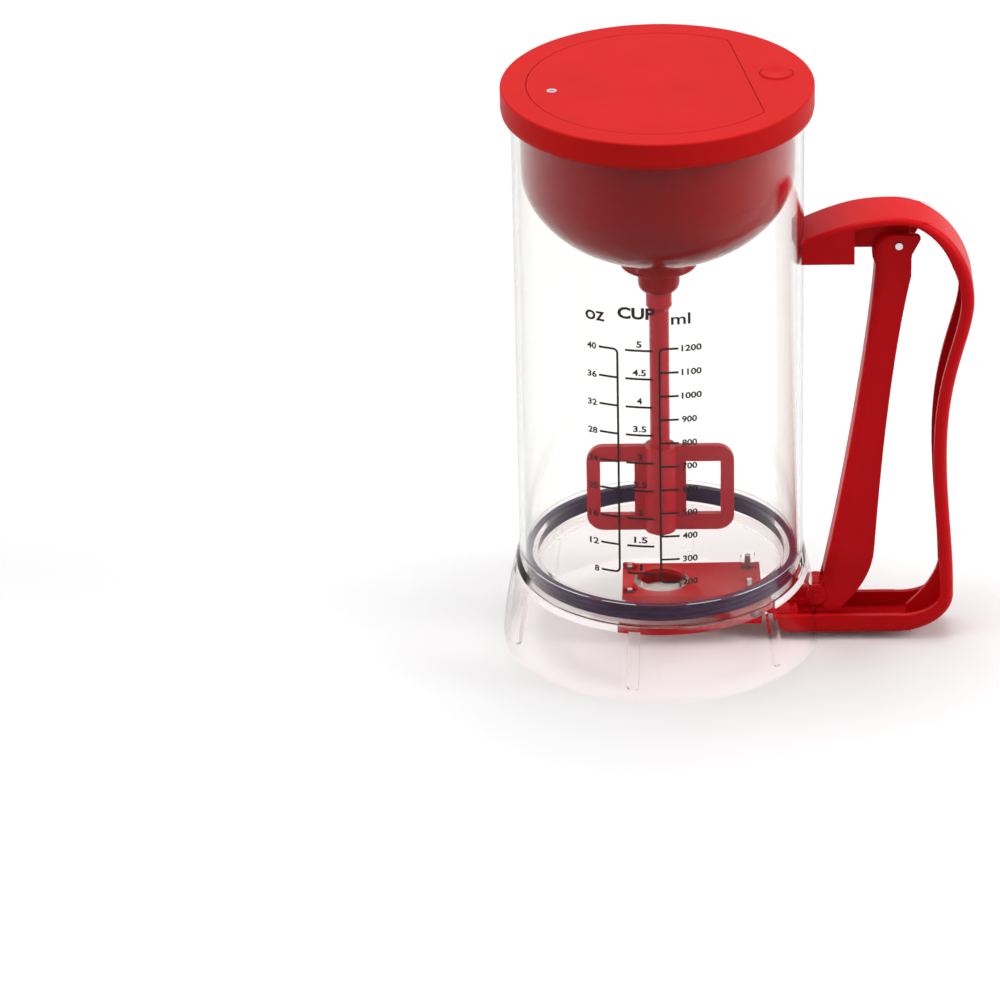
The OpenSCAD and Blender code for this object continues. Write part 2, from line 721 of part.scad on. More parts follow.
// Screws of the handle: one up into the tank's lug, two up through the foot into the guide's tongues
module handle_screws() {
    color([0.75, 0.76, 0.78]) {
        translate([tank_screw_x, 0, block_z + shelf_lift - head_h]) {
            cylinder(h = tank_lug_z1 - 2 * over - block_z - shelf_lift + head_h, d = handle_screw_d);
            cylinder(h = head_h, r = handle_screw_d / 2 + head_over);
        }
        for (y = [-foot_screw_y, foot_screw_y]) translate([foot_screw_x, y, bar_z + fixed_gap]) {
            cylinder(h = tongue_z + tongue_t - bar_z - 0.5, r = foot_screw_r);
            cylinder(h = head_h, r = foot_head_r);
        }
    }
}

// ---------------------------------------------------------------- trigger

// Side outline of the trigger: curved face in front, and a back that swells to a knee above the link
trigger_l = pivot_z - link_z;
head_back = pivot_x + face_out / 2 + 0.4;
knee = [link_x + knee_out, link_z + knee_rise];
front_line = bezier([pivot_x - face_out, pivot_z - 8.7], [pivot_x - face_out - 1.5, pivot_z - 0.27 * trigger_l],
    [link_x + 8, link_z + 0.2 * trigger_l], [link_x + 2, link_z + 6]);
back_line = concat(
    bezier([head_back, pivot_z - 13.2], [head_back - 7.6, pivot_z - 0.31 * trigger_l],
        knee + [2, 0.21 * trigger_l], knee),
    tail(bezier(knee, knee - [0.4, 0.54 * knee_rise], [link_x + 0.79 * knee_out, link_z + 2],
        [link_x + 8.3, link_z - 7.5])));
head_top = pivot_z + 4.9;

module trigger_side() {
    polygon(concat(
        front_line, [[link_x + 1.5, link_z - 5.8]], reverse(back_line),
        [[head_back, pivot_z - 4.3], [head_back + 3.8, pivot_z + 2.9], [head_back + 1, head_top]],
        [[pivot_x - 4.5, head_top], [pivot_x - face_out - 0.9, pivot_z - 0.5]],
        [[pivot_x - face_out - 1.5, pivot_z - 5.9]]
    ));
    translate([link_x, link_z]) circle(r = eye_half + 0.5);
}

module trigger_hollow() {
    polygon(concat(
        [for (p = front_line) if (p[1] > front_low) p + [trigger_t, 0]],
        [[link_x - 2 * eye_half, front_low], [link_x - 2 * eye_half, 0], [grip_reach, 0]],
        [[grip_reach, head_top + over], [pivot_x - 16, head_top + over], [pivot_x - 16, lug_z - 1.6]],
        [[pivot_x - face_out + trigger_t, lug_z - 1.6]]
    ));
}

module trigger_front(inset) {
    rotate([90, 0, 90]) linear_extrude(grip_reach) polygon([
        for (side = [-1, 1], k = side < 0 ? [0, 1, 2, 3] : [3, 2, 1, 0])
            [side * ((k < 2 ? clevis_half : trigger_half) - inset),
                [0, link_z + 7, link_z + 18, arch_z][k]]
    ]);
}

module trigger() {
    color([0.78, 0.08, 0.12]) difference() {
        intersection() {
            side_view(trigger_w) trigger_side();
            trigger_front(0);
        }
        intersection() {
            side_view(trigger_w) trigger_hollow();
            trigger_front(trigger_t);
        }
        side_view(2 * trigger_w) translate([pivot_x, pivot_z]) circle(r = pin_r + pin_run);
        side_view(2 * trigger_w) translate([link_x, link_z]) circle(r = pin_r + 0.02);
    }
}

module trigger_pin() {
    color([0.85, 0.86, 0.88]) side_view(trigger_w + 0.6) translate([pivot_x, pivot_z]) circle(r = pin_r);
}

module link_pin() {
    color([0.85, 0.86, 0.88]) side_view(clevis_w) translate([link_x, link_z]) circle(r = pin_r);
}

module trigger_spring() {
    coil_r = pin_r + spring_wire / 2 + 0.6;
    y0 = lug_t / 2 + moving_gap + spring_wire / 2;
    turn = 690;
    steps = 46;
    y1 = y0 + (spring_wire + fixed_gap) * turn / 360;
    color([0.7, 0.71, 0.73]) tube(concat(
        [[pivot_x - coil_r, y0, arch_z - skin_t - 0.7]],
        [for (i = [0:steps]) let (a = 180 + turn * i / steps)
            [pivot_x + coil_r * cos(a), y0 + (y1 - y0) * i / steps, pivot_z + coil_r * sin(a)]],
        [[pivot_x - 6.6, y1, pivot_z - 5.9]]
    ), spring_wire / 2, 8, [0, 1, 0]);
}

// ---------------------------------------------------------------- lid

module d_outline(r, chord, corner) {
    mid = [chord - corner, sqrt((r - corner) * (r - corner) - (chord - corner) * (chord - corner))];
    touch = mid * r / (r - corner);
    intersection() {
        circle(r = r);
        translate([-r, -r]) square([r + touch[0], 2 * r]);
    }
    intersection() {
        circle(r = r);
        translate([0, -mid[1]]) square([chord, 2 * mid[1]]);
    }
    for (side = [-1, 1]) translate([mid[0], side * mid[1]]) circle(r = corner);
}

module lid_shell() {
    color([0.9, 0.13, 0.15]) at_lid_turn() difference() {
        union() {
            rotate_extrude() polygon(concat(
                [[lid_in, lid_low], [lid_r - 0.4, lid_low], [lid_r, lid_low + 2]],
                arc(lid_r - lid_edge, lid_top - lid_edge, lid_edge, 0, 90, 6),
                [[0, lid_top], [0, lid_under], [lid_in, lid_under]]
            ));
            intersection() {
                translate([button_x, 0, guide_plate_z])
                    cylinder(h = lid_under - guide_plate_z + 0.5, r = button_hole_r + 1.6);
                cylinder(h = lid_top, r = bowl_in - fixed_gap);
            }
        }
        translate([0, 0, lid_under - over]) linear_extrude(lid_t + 2 * over)
            d_outline(bay_r, bay_chord, bay_corner);
        translate([button_x, 0, guide_plate_z + guide_plate_t]) cylinder(h = lid_h, r = button_hole_r);
        translate([button_x, 0, guide_plate_z - over]) cylinder(h = lid_h, r = stem_r + pin_run);
    }
}

module lid_seal() {
    color([0.85, 0.84, 0.82]) rotate_extrude() difference() {
        translate([bowl_r + fixed_gap, tank_top + moving_gap])
            square([lid_in - bowl_r - 2 * fixed_gap, lid_under - tank_top - moving_gap]);
        translate([bowl_r + fixed_gap, tank_top + moving_gap]) square([1.2, 0.8]);
    }
}

module power_button() {
    color([0.86, 0.1, 0.13]) at_lid_turn() translate([button_x, 0, 0]) {
        rotate_extrude() polygon([
            [0, button_low], [stem_r, button_low], [stem_r + 0.6, button_low + 0.6],
            [stem_r + 0.6, guide_plate_z - fixed_gap], [stem_r, guide_plate_z - fixed_gap],
            [stem_r, button_top - button_cap], [button_r, button_top - button_cap],
            [button_r, button_top - 0.5], [button_r - 0.5, button_top], [0, button_top - 0.3]
        ]);
    }
}

module button_spring() {
    wire = 0.6;
    coil_r = stem_r + wire / 2 + moving_gap + 0.05;
    turns = 3;
    steps = 16 * turns;
    z0 = guide_plate_z + guide_plate_t + wire / 2 + moving_gap / 2;
    z1 = button_top - button_cap - wire / 2 - moving_gap / 2;
    color([0.7, 0.71, 0.73]) at_lid_turn() translate([button_x, 0, 0]) tube(
        [for (i = [0:steps]) let (a = 360 * turns * i / steps)
            [coil_r * cos(a), coil_r * sin(a), z0 + (z1 - z0) * i / steps]], wire / 2, 8, [0, 0, 1]);
}

module switch() {
    color([0.12, 0.12, 0.13]) at_lid_turn() translate([button_x, 0, switch_z - switch_h]) {
        translate([-switch_half - switch_in, -switch_half, 0])
            cube([2 * switch_half, 2 * switch_half, switch_h]);
        cylinder(h = switch_h + button_low - button_travel - moving_gap - switch_z, r = 1.8);
    }
}

// The cover's two tabs hook under the lid, and their noses are round about the line it tilts on
module battery_cover() {
    lift = lid_under + moving_gap;
    tab_y = 18;
    tab_w = 8;
    tab_t = 1.6;
    tab_root = 7;
    tab_reach = 4.7;
    color([0.9, 0.13, 0.15]) at_lid_turn() difference() {
        union() {
            translate([0, 0, lift]) linear_extrude(lid_top - lift)
                d_outline(cover_r, cover_chord, cover_corner);
            for (side = [-1, 1]) translate([cover_chord, side * tab_y, 0]) {
                translate([-tab_root, -tab_w / 2, lift - tab_t - moving_gap])
                    cube([tab_root - moving_gap, tab_w, tab_t + moving_gap + over / 2]);
                intersection() {
                    translate([-tab_root, -tab_w / 2, lift - tab_t - 2 * moving_gap])
                        cube([2 * tab_root, tab_w, tab_t]);
                    translate([0, 0, lid_top]) rotate([90, 0, 0])
                        cylinder(h = tab_w, r = tab_reach, center = true);
                }
            }
        }
        translate([-cover_screw_x, 0, lid_under - over])
            cylinder(h = lid_h, r = cover_shank_r + fixed_gap);
        translate([-cover_screw_x, 0, lid_top - 0.8])
            cylinder(h = lid_h, r = cover_screw_r + fixed_gap);
    }
}

module battery_cover_screw() {
    color([0.8, 0.81, 0.83]) at_lid_turn() translate([-cover_screw_x, 0, lid_top - 0.8]) difference() {
        union() {
            cylinder(h = 0.9, r = cover_screw_r);
            translate([0, 0, 0.8 - cover_screw_l]) cylinder(h = cover_screw_l, r = cover_shank_r);
        }
        for (a = [0, 90]) rotate([0, 0, a]) translate([-1.1, -0.25, 0.4]) cube([2.2, 0.5, over]);
    }
}

module battery_tray() {
    color([0.2, 0.2, 0.21]) at_lid_turn() {
        translate([0, 0, deck_z]) cylinder(h = deck_t, r = deck_r);
        translate([battery_mid_x, 0, deck_z + deck_t]) difference() {
            translate([-tray_x, -tray_y, 0]) cube([2 * tray_x, 2 * tray_y, battery_z - deck_z - deck_t + 2]);
            translate([-tray_x + tray_wall, -tray_y + tray_wall, -over])
                cube([2 * (tray_x - tray_wall), 2 * (tray_y - tray_wall), lid_h * 2]);
        }
        for (y = [-battery_l / 4, battery_l / 4]) difference() {
            translate([battery_mid_x - 2 * battery_pitch, y - 1.5, deck_z + deck_t])
                cube([4 * battery_pitch, 3, battery_z - deck_z - deck_t - 3]);
            for (k = [0:3]) translate([battery_mid_x + (k - 1.5) * battery_pitch, y, battery_z])
                rotate([90, 0, 0]) cylinder(h = 2 * battery_r, r = battery_r + fixed_gap, center = true);
        }
        translate([button_x - switch_half - switch_in, -switch_half, deck_z + deck_t])
            cube([2 * switch_half, 2 * switch_half, switch_z - switch_h - deck_z - deck_t]);
    }
}

module battery(k) {
    color([0.15, 0.2, 0.3]) at_lid_turn()
        translate([battery_mid_x + (k - 2.5) * battery_pitch, 0, battery_z])
        rotate([k % 2 == 0 ? 90 : -90, 0, 0]) translate([0, 0, -battery_l / 2]) {
            cylinder(h = battery_l - 1.2, r = battery_r);
            cylinder(h = battery_l, r = 2.7);
        }
}

module contact(side) {
    color([0.8, 0.78, 0.7]) at_lid_turn()
        translate([battery_mid_x - 2 * battery_pitch + 0.5,
            side * (battery_l / 2 + fixed_gap + contact_t / 2) - contact_t / 2, deck_z + deck_t])
        cube([4 * battery_pitch - 1, contact_t, battery_z - deck_z - deck_t + 4]);
}

// ---------------------------------------------------------------- motor bowl and mixer

module bowl_section() {
    hole = sleeve_r + 0.6;
    outer_end = acos(hole / bowl_r);
    inner_end = acos(hole / bowl_in);
    steps = 2 * curve_steps;
    polygon(concat(
        [[bowl_r, lid_under]],
        [for (i = [0:steps]) let (a = outer_end * i / steps)
            [bowl_r * cos(a), bowl_bend - bowl_depth * sin(a)]],
        [for (i = [steps:-1:0]) let (a = inner_end * i / steps)
            [bowl_in * cos(a), bowl_bend - (bowl_depth - bowl_t) * sin(a)]],
        [[bowl_in, lid_under]]
    ));
}

module motor_bowl() {
    post_low = bowl_z(post_x, bowl_bend, bowl_depth - bowl_t, bowl_in) - bowl_t / 2;
    color([0.62, 0.02, 0.06]) at_lid_turn() difference() {
        union() {
            rotate_extrude() bowl_section();
            rotate_extrude() translate([bowl_in - deck_shelf, deck_z - deck_t])
                square([deck_shelf + bowl_t / 2, deck_t]);
            rotate_extrude() translate([bowl_in - shelf_w, lid_under - shelf_t])
                square([shelf_w + bowl_t / 2, shelf_t]);
            translate([-cover_screw_x, 0, lid_under - screw_boss_h]) cylinder(h = screw_boss_h, r = screw_boss_r);
            translate([-bowl_in - bowl_t / 2, -bowl_t, lid_under - screw_boss_h])
                cube([bowl_in - cover_screw_x, 2 * bowl_t, screw_boss_h]);
            for (a = [90, 210, 330]) rotate([0, 0, a]) translate([post_x, 0, post_low])
                cylinder(h = motor_low - bracket_t - post_low, r = bracket_post_r);
        }
        translate([-cover_screw_x, 0, lid_under - screw_boss_h + over])
            cylinder(h = lid_h, r = cover_shank_r + 0.45);
        translate([button_x, 0, lid_under - shelf_t]) cylinder(h = lid_h, r = button_hole_r);
        intersection() {
            translate([button_x, 0, lid_under - shelf_t - over])
                cylinder(h = lid_h, r = button_hole_r + 1.6 + fixed_gap);
            cylinder(h = lid_top, r = bowl_in);
        }
    }
}

module shaft_collar() {
    bore = sleeve_r + pin_run;
    edge_t = 1.6;
    edge_low = bowl_low - collar_drop;
    hug_r = collar_r - 1.5;
    cup_r = cup_d / 2;
    cup_bend = 3.8;
    color([0.7, 0.04, 0.08]) rotate_extrude() polygon(concat(
        [for (i = [0:6]) let (r = bore + (hug_r - bore) * i / 6)
            [r, bowl_z(r, bowl_bend, bowl_depth, bowl_r) - fixed_gap]],
        [[collar_r, edge_low + edge_t], [collar_r, edge_low + 0.4], [collar_r - 0.4, edge_low]],
        [[cup_r + 0.6, edge_low - 0.6], [cup_r, edge_low - 1.2]],
        [for (i = [0:6]) let (a = 90 * i / 6)
            [cup_r - (cup_r - bore - 0.4) * (1 - cos(a)), collar_low + cup_bend * (1 - sin(a))]],
        [[bore, collar_low]]
    ));
}

module motor() {
    color([0.72, 0.73, 0.75]) difference() {
        union() {
            translate([0, 0, motor_low]) cylinder(h = motor_h, r = motor_r);
            translate([0, 0, motor_low - bracket_t]) cylinder(h = motor_h, r = motor_nose_r);
        }
        translate([0, 0, motor_low - bracket_t - over])
            cylinder(h = motor_h - motor_wall, r = motor_shaft_r + pin_run);
    }
}

module motor_bracket() {
    color([0.3, 0.3, 0.32]) translate([0, 0, motor_low - bracket_t]) difference() {
        cylinder(h = bracket_t, r = bracket_r);
        translate([0, 0, -over]) cylinder(h = bracket_t + 2 * over, r = motor_nose_r + fixed_gap);
    }
}

module motor_shaft() {
    color([0.8, 0.81, 0.83]) translate([0, 0, sleeve_top + over])
        cylinder(h = motor_low - bracket_t + motor_h - motor_wall - 3 * over - sleeve_top - over, r = motor_shaft_r);
}

module mixer_shaft() {
    hub_top = motor_low - bracket_t - 3;
    color([0.75, 0.06, 0.1]) difference() {
        rotate_extrude() polygon([
            [0, shaft_end_z], [shaft_r - 1, shaft_end_z], [shaft_r, shaft_end_z + 1],
            [shaft_r, sleeve_low - 2], [sleeve_r, sleeve_low], [sleeve_r, sleeve_top],
            [shaft_r, sleeve_top], [shaft_r, hub_top], [0, hub_top]
        ]);
        translate([0, 0, sleeve_top]) cylinder(h = hub_top - sleeve_top + over, r = motor_shaft_r + 0.04);
    }
}

module mixer_paddle() {
    z0 = shaft_end_z + 2;
    half = paddle_w / 2;
    color([0.75, 0.06, 0.1]) translate([0, 0, z0]) difference() {
        union() {
            cylinder(h = paddle_h, r = shaft_r + 2.4);
            side_view(paddle_t) union() {
                translate([-half + paddle_bar, 0]) square([paddle_w - 2 * paddle_bar, paddle_h]);
                translate([-half, paddle_bar]) square([paddle_w, paddle_h - 2 * paddle_bar]);
                for (x = [-half + paddle_bar, half - paddle_bar], z = [paddle_bar, paddle_h - paddle_bar])
                    translate([x, z]) circle(r = paddle_bar);
            }
        }
        for (side = [-1, 1]) side_view(2 * paddle_t) translate([side * (half + shaft_r + 1) / 2, paddle_h / 2])
            square([half - paddle_bar - shaft_r - 5, paddle_h - 2 * paddle_bar], center = true);
        translate([0, 0, -over]) cylinder(h = paddle_h + 2 * over, r = shaft_r + 0.04);
    }
}

tank();
base_skirt();
tank_floor();
base_seal();
valve_guide();
guide_screws();
handle_frame();
handle_screws();
trigger_pin();
trigger();
link_pin();
trigger_spring();
valve_slide();
valve_pad();
lid_shell();
lid_seal();
button_spring();
switch();
battery_tray();
battery(1);  // battery_1
battery(2);  // battery_2
battery(3);  // battery_3
battery(4);  // battery_4
contact(-1);  // contact_near
contact(1);  // contact_far
motor_bowl();
motor();
motor_bracket();
shaft_collar();
power_button();
battery_cover();
battery_cover_screw();
motor_shaft();
mixer_shaft();
mixer_paddle();
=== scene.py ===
# Pancake batter dispenser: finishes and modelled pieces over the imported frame.
# Metres, +Z up. The tank's axis is Z, the handle points along +X, and the skirt's rim is at z = 0.
import json
import math

import bpy
from mathutils import Matrix, Vector


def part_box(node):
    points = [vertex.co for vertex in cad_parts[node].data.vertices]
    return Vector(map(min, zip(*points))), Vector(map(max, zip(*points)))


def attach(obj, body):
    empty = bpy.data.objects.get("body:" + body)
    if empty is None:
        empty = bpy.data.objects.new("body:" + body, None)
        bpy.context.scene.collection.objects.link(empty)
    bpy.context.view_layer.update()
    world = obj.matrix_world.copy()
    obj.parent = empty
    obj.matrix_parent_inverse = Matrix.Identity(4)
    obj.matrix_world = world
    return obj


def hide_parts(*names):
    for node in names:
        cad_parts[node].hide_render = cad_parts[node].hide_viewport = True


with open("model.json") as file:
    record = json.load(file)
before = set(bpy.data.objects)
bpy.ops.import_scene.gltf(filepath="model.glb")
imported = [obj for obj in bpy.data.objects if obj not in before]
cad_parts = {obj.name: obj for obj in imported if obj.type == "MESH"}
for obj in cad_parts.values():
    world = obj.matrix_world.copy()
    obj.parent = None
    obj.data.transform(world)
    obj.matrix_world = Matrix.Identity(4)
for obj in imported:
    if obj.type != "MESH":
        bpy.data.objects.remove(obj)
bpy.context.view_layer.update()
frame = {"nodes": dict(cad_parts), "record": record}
bpy.ops.object.select_all(action="DESELECT")

MM = 0.001

# ---------------------------------------------------------------- camera

CAMERA_AT = Vector((0, -2066.7, 1103.3)) * MM
CAMERA_AIM = Vector((-65.5, 0, 60.0)) * MM
CAMERA_ROLL = math.radians(-1.3)
CAMERA_LENS = 204.3


def place_camera():
    bpy.ops.object.camera_add()
    camera = bpy.context.object
    camera.name = "camera"
    camera.data.lens = CAMERA_LENS
    camera.data.sensor_width = 36
    camera.data.clip_start = 0.01
    look = (CAMERA_AIM - CAMERA_AT).to_track_quat("-Z", "Y").to_matrix().to_4x4()
    camera.matrix_world = Matrix.Translation(CAMERA_AT) @ look @ Matrix.Rotation(CAMERA_ROLL, 4, "Z")
    bpy.context.scene.camera = camera


place_camera()
bpy.context.scene.view_settings.view_transform = "Standard"

# ---------------------------------------------------------------- sizes read from the frame

TANK_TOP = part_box("tank")[1].z

# ---------------------------------------------------------------- finishes

# Places of the colour sockets on a mix node
MIX_A, MIX_B, MIX_RESULT = 6, 7, 2
# How often the spark-eroded grain repeats
GRAIN = 2600


class Wire:
    """A socket or a number that shader maths is written with."""

    def __init__(self, finish, socket):
        self.finish = finish
        self.socket = socket

    def _math(self, operation, first, second):
        return self.finish.node("ShaderNodeMath", {"operation": operation}, {0: first, 1: second})

    def __add__(self, other):
        return self._math("ADD", self, other)

    def __radd__(self, other):
        return self._math("ADD", other, self)

    def __mul__(self, other):
        return self._math("MULTIPLY", self, other)

    def __rmul__(self, other):
        return self._math("MULTIPLY", other, self)

    def power(self, other):
        return self._math("POWER", self, other)

    def most(self, other):
        return self._math("MAXIMUM", self, other)

    def below(self, edge):
        return self._math("LESS_THAN", self, edge)

    def above(self, edge, soft):
        """0 below an edge, 1 above it, smooth over a width."""
        settings = {"interpolation_type": "SMOOTHSTEP"}
        return self.finish.node("ShaderNodeMapRange", settings, {0: self, 1: edge - soft, 2: edge + soft})


class Finish:
    """A material built from nodes, with one principled shader at its end."""

    def __init__(self, name, **fixed):
        self.material = bpy.data.materials.new(name)
        self.material.use_nodes = True
        self.tree = self.material.node_tree
        self.tree.nodes.clear()
        self.output = self.tree.nodes.new("ShaderNodeOutputMaterial")
        self.shader = self.tree.nodes.new("ShaderNodeBsdfPrincipled")
        self.tree.links.new(self.shader.outputs[0], self.output.inputs["Surface"])
        for socket, value in fixed.items():
            self.shader.inputs[socket.replace("_", " ")].default_value = value

    def node(self, kind, settings, values, out=0):
        """Any node: its settings first, then the values or wires of its sockets."""
        node = self.tree.nodes.new(kind)
        for name, value in settings.items():
            setattr(node, name, value)
        for key, value in values.items():
            self._feed(node.inputs[key], value)
        return Wire(self, node.outputs[out])

    def _feed(self, socket, value):
        if isinstance(value, Wire):
            self.tree.links.new(value.socket, socket)
        elif isinstance(value, (tuple, list)) and len(value) == 3 and socket.type == "RGBA":
            socket.default_value = (*value, 1)
        else:
            socket.default_value = value

    def give(self, socket, value):
        """Feeds one of the shader's sockets."""
        self._feed(self.shader.inputs[socket], value)

    def let_light_through(self, colour):
        """Lamps light what lies behind the clear plastic, and its own shadow is faint."""
        clear = self.node("ShaderNodeBsdfTransparent", {}, {"Color": colour})
        shadow = self.node("ShaderNodeLightPath", {}, {}, "Is Shadow Ray")
        body = Wire(self, self.shader.outputs[0])
        mixed = self.node("ShaderNodeMixShader", {}, {0: shadow, 1: body, 2: clear})
        self.tree.links.new(mixed.socket, self.output.inputs["Surface"])

    def place(self, **mapping):
        """Object coordinates, centred, turned or scaled by a mapping."""
        coordinates = self.node("ShaderNodeTexCoord", {}, {}, "Object")
        if not mapping:
            return coordinates
        return self.node("ShaderNodeMapping", {}, {"Vector": coordinates, **mapping})

    def noise(self, scale, detail=2.0, at=None):
        values = {"Vector": at or self.place(), "Scale": scale, "Detail": detail}
        return self.node("ShaderNodeTexNoise", {}, values, "Fac")

    def colour(self, factor, first, second):
        values = {"Factor": factor, MIX_A: first, MIX_B: second}
        return self.node("ShaderNodeMix", {"data_type": "RGBA"}, values, MIX_RESULT)

    def bump(self, height, depth):
        values = {"Height": height, "Distance": depth, "Strength": 1.0}
        return self.node("ShaderNodeBump", {}, values)


def moulded(name, colour, rough, grain_depth=0.012 * MM, drift=0.10, shine=0.25):
    """Injection-moulded plastic: fine spark-eroded grain, slow flow drift and rubbed patches."""
    finish = Finish(name, Specular_IOR_Level=shine)
    slow = finish.noise(28, 3)
    fine = finish.noise(GRAIN, 2)
    smudge = finish.noise(95, 5)
    darker = tuple(c * (1 - drift) for c in colour)
    lighter = tuple(min(1, c * (1 + drift)) for c in colour)
    finish.give("Base Color", finish.colour(slow, darker, lighter))
    finish.give("Roughness", rough - 0.05 + 0.07 * smudge + 0.05 * fine)
    finish.give("Normal", finish.bump(fine + 0.6 * slow, grain_depth))
    return finish


def clear_plastic(name, tint, rough=0.02, ripple=0.006 * MM, painted_edge_shade=0.35, ior=1.49):
    """Clear moulded plastic: faint flow ripples, a few fine rubs, and painted shade that darkens the colour
    where the surface turns edge-on, so edges look thicker.
    """
    finish = Finish(name, Transmission_Weight=1.0, IOR=ior, Specular_Tint=(0.1, 0.1, 0.1, 1))
    tall = finish.place(Scale=(1, 1, 0.25))
    flow = finish.noise(35, 2, at=tall)
    rubs = finish.noise(420, 6, at=finish.place(Scale=(1, 1, 0.06)))
    grazing = finish.node("ShaderNodeLayerWeight", {}, {"Blend": 0.5}, "Facing")
    body = finish.colour(flow, tint, tuple(min(1, c * 1.01) for c in tint))
    # Painted shade: towards grazing angles the colour darkens by the edge shade factor, drawing dark lines
    # along the edges.
    finish.give("Base Color", finish.colour(grazing.power(5), body, tuple(c * painted_edge_shade for c in tint)))
    finish.give("Roughness", rough + 0.05 * rubs.power(6))
    finish.give("Normal", finish.bump(flow, ripple))
    finish.let_light_through((0.95, 0.94, 0.94))
    return finish


def rubber(name, colour, rough, **fixed):
    """Moulded silicone: soft, slightly dusty."""
    finish = Finish(name, **fixed)
    dust = finish.noise(160, 5)
    fine = finish.noise(3000, 2)
    dusty = tuple(c * 1.35 + 0.01 for c in colour)
    finish.give("Base Color", finish.colour(dust.above(0.5, 0.25), colour, dusty))
    finish.give("Roughness", rough + 0.12 * dust)
    finish.give("Normal", finish.bump(fine, 0.01 * MM))
    return finish


def metal(name, colour, rough, along=(1, 1, 1)):
    """Plated or turned metal: fine lines and small stains."""
    finish = Finish(name, Metallic=1.0)
    lines = finish.noise(1500, 3, at=finish.place(Scale=along))
    stain = finish.noise(240, 5)
    finish.give("Base Color", finish.colour(stain, colour, tuple(c * 0.86 for c in colour)))
    finish.give("Roughness", rough + 0.14 * lines * stain)
    finish.give("Normal", finish.bump(lines, 0.006 * MM))
    return finish


CLEAR_TANK = clear_plastic("clear_tank", (0.99, 0.985, 0.97))
CLEAR_SKIRT = clear_plastic("clear_skirt", (0.968, 0.928, 0.932), rough=0.04, painted_edge_shade=0.15, ior=1.1)
CLEAR_FLOOR = clear_plastic("clear_floor", (0.97, 0.96, 0.955), rough=0.06, painted_edge_shade=0.9, ior=1.08)
LID_RED = moulded("lid_red", (0.62, 0.010, 0.009), 0.42, shine=0.05)
HANDLE_RED = moulded("handle_red", (0.69, 0.006, 0.010), 0.36, shine=0.07)
BOWL_RED = moulded("bowl_red", (0.37, 0.002, 0.006), 0.10, grain_depth=0.003 * MM, shine=0.12)
SHAFT_RED = moulded("shaft_red", (0.56, 0.022, 0.034), 0.24, grain_depth=0.004 * MM)
BLACK_PLASTIC = moulded("black_plastic", (0.02, 0.02, 0.022), 0.45, drift=0.3)
INK = moulded("ink", (0.016, 0.010, 0.008), 0.5, drift=0.3)
SEAL_PURPLE = rubber("seal_purple", (0.045, 0.020, 0.060), 0.34, Specular_IOR_Level=0.2)
SEAL_WHITE = rubber("seal_white", (0.74, 0.72, 0.68), 0.42)
STEEL = metal("steel", (0.66, 0.67, 0.69), 0.22, along=(1, 1, 0.05))
SPRING_STEEL = metal("spring_steel", (0.5, 0.51, 0.53), 0.3)
BATTERY_SKIN = moulded("battery_skin", (0.05, 0.075, 0.13), 0.25, grain_depth=0.002 * MM, shine=0.5)

FINISHES = {
    "clear_tank": CLEAR_TANK, "clear_skirt": CLEAR_SKIRT, "clear_floor": CLEAR_FLOOR,
    "seal_purple": SEAL_PURPLE, "seal_white": SEAL_WHITE, "lid_red": LID_RED, "bowl_red": BOWL_RED,
    "shaft_red": SHAFT_RED, "handle_red": HANDLE_RED, "black_plastic": BLACK_PLASTIC,
    "steel": STEEL, "battery_skin": BATTERY_SKIN, "spring_steel": SPRING_STEEL,
}


def dress(piece, slot):
    """Gives a whole piece one finish, chosen by its slot."""
    piece.data.materials.clear()
    piece.data.materials.append(FINISHES[slot].material)


for part in frame["record"]["subparts"]:
    dress(frame["nodes"][part["node"]], part["material_slot"])

# ---------------------------------------------------------------- shaping by hand

PIN_SIDES = 48


def alone(piece):
    """Selects one piece, with nothing else selected."""
    bpy.ops.object.select_all(action="DESELECT")
    piece.select_set(True)
    bpy.context.view_layer.objects.active = piece


def start_point(at):
    """A single point to draw from. The new piece stays in edit mode."""
    bpy.ops.object.select_all(action="DESELECT")
    bpy.ops.mesh.primitive_plane_add(size=MM)
    bpy.ops.object.mode_set(mode="EDIT")
    bpy.ops.mesh.select_mode(type="VERT")
    bpy.ops.mesh.merge(type="CENTER")
    bpy.ops.transform.translate(value=Vector(at) * MM)


def draw(points):
    """Pulls the last point on through the others."""
    for here, there in zip(points, points[1:]):
        step = (Vector(there) - Vector(here)) * MM
        bpy.ops.mesh.extrude_vertices_move(TRANSFORM_OT_translate={"value": step})


def draw_closed(points):
    start_point(points[0])
    draw(points + [points[0]])
    bpy.ops.mesh.select_all(action="SELECT")
    bpy.ops.mesh.remove_doubles(threshold=0.004 * MM)


def leave_edit(name):
    bpy.ops.mesh.select_all(action="SELECT")
    bpy.ops.mesh.normals_make_consistent(inside=False)
    bpy.ops.object.mode_set(mode="OBJECT")
    piece = bpy.context.object
    piece.name = name
    return piece


def turned(name, outline, steps=96, centre=(0, 0, 0), axis="Z"):
    """A closed outline of radius and height, spun about an axis through the centre."""
    middle = Vector(centre)
    along = {"Z": lambda r, h: (r, 0, h), "Y": lambda r, h: (r, h, 0)}[axis]
    draw_closed([middle + Vector(along(r, h)) for r, h in outline])
    turn = {"Z": (0, 0, 1), "Y": (0, 1, 0)}[axis]
    bpy.ops.mesh.spin(steps=steps, angle=2 * math.pi, center=middle * MM, axis=turn, use_auto_merge=True)
    bpy.ops.mesh.select_all(action="SELECT")
    bpy.ops.mesh.remove_doubles(threshold=0.002 * MM)
    return leave_edit(name)


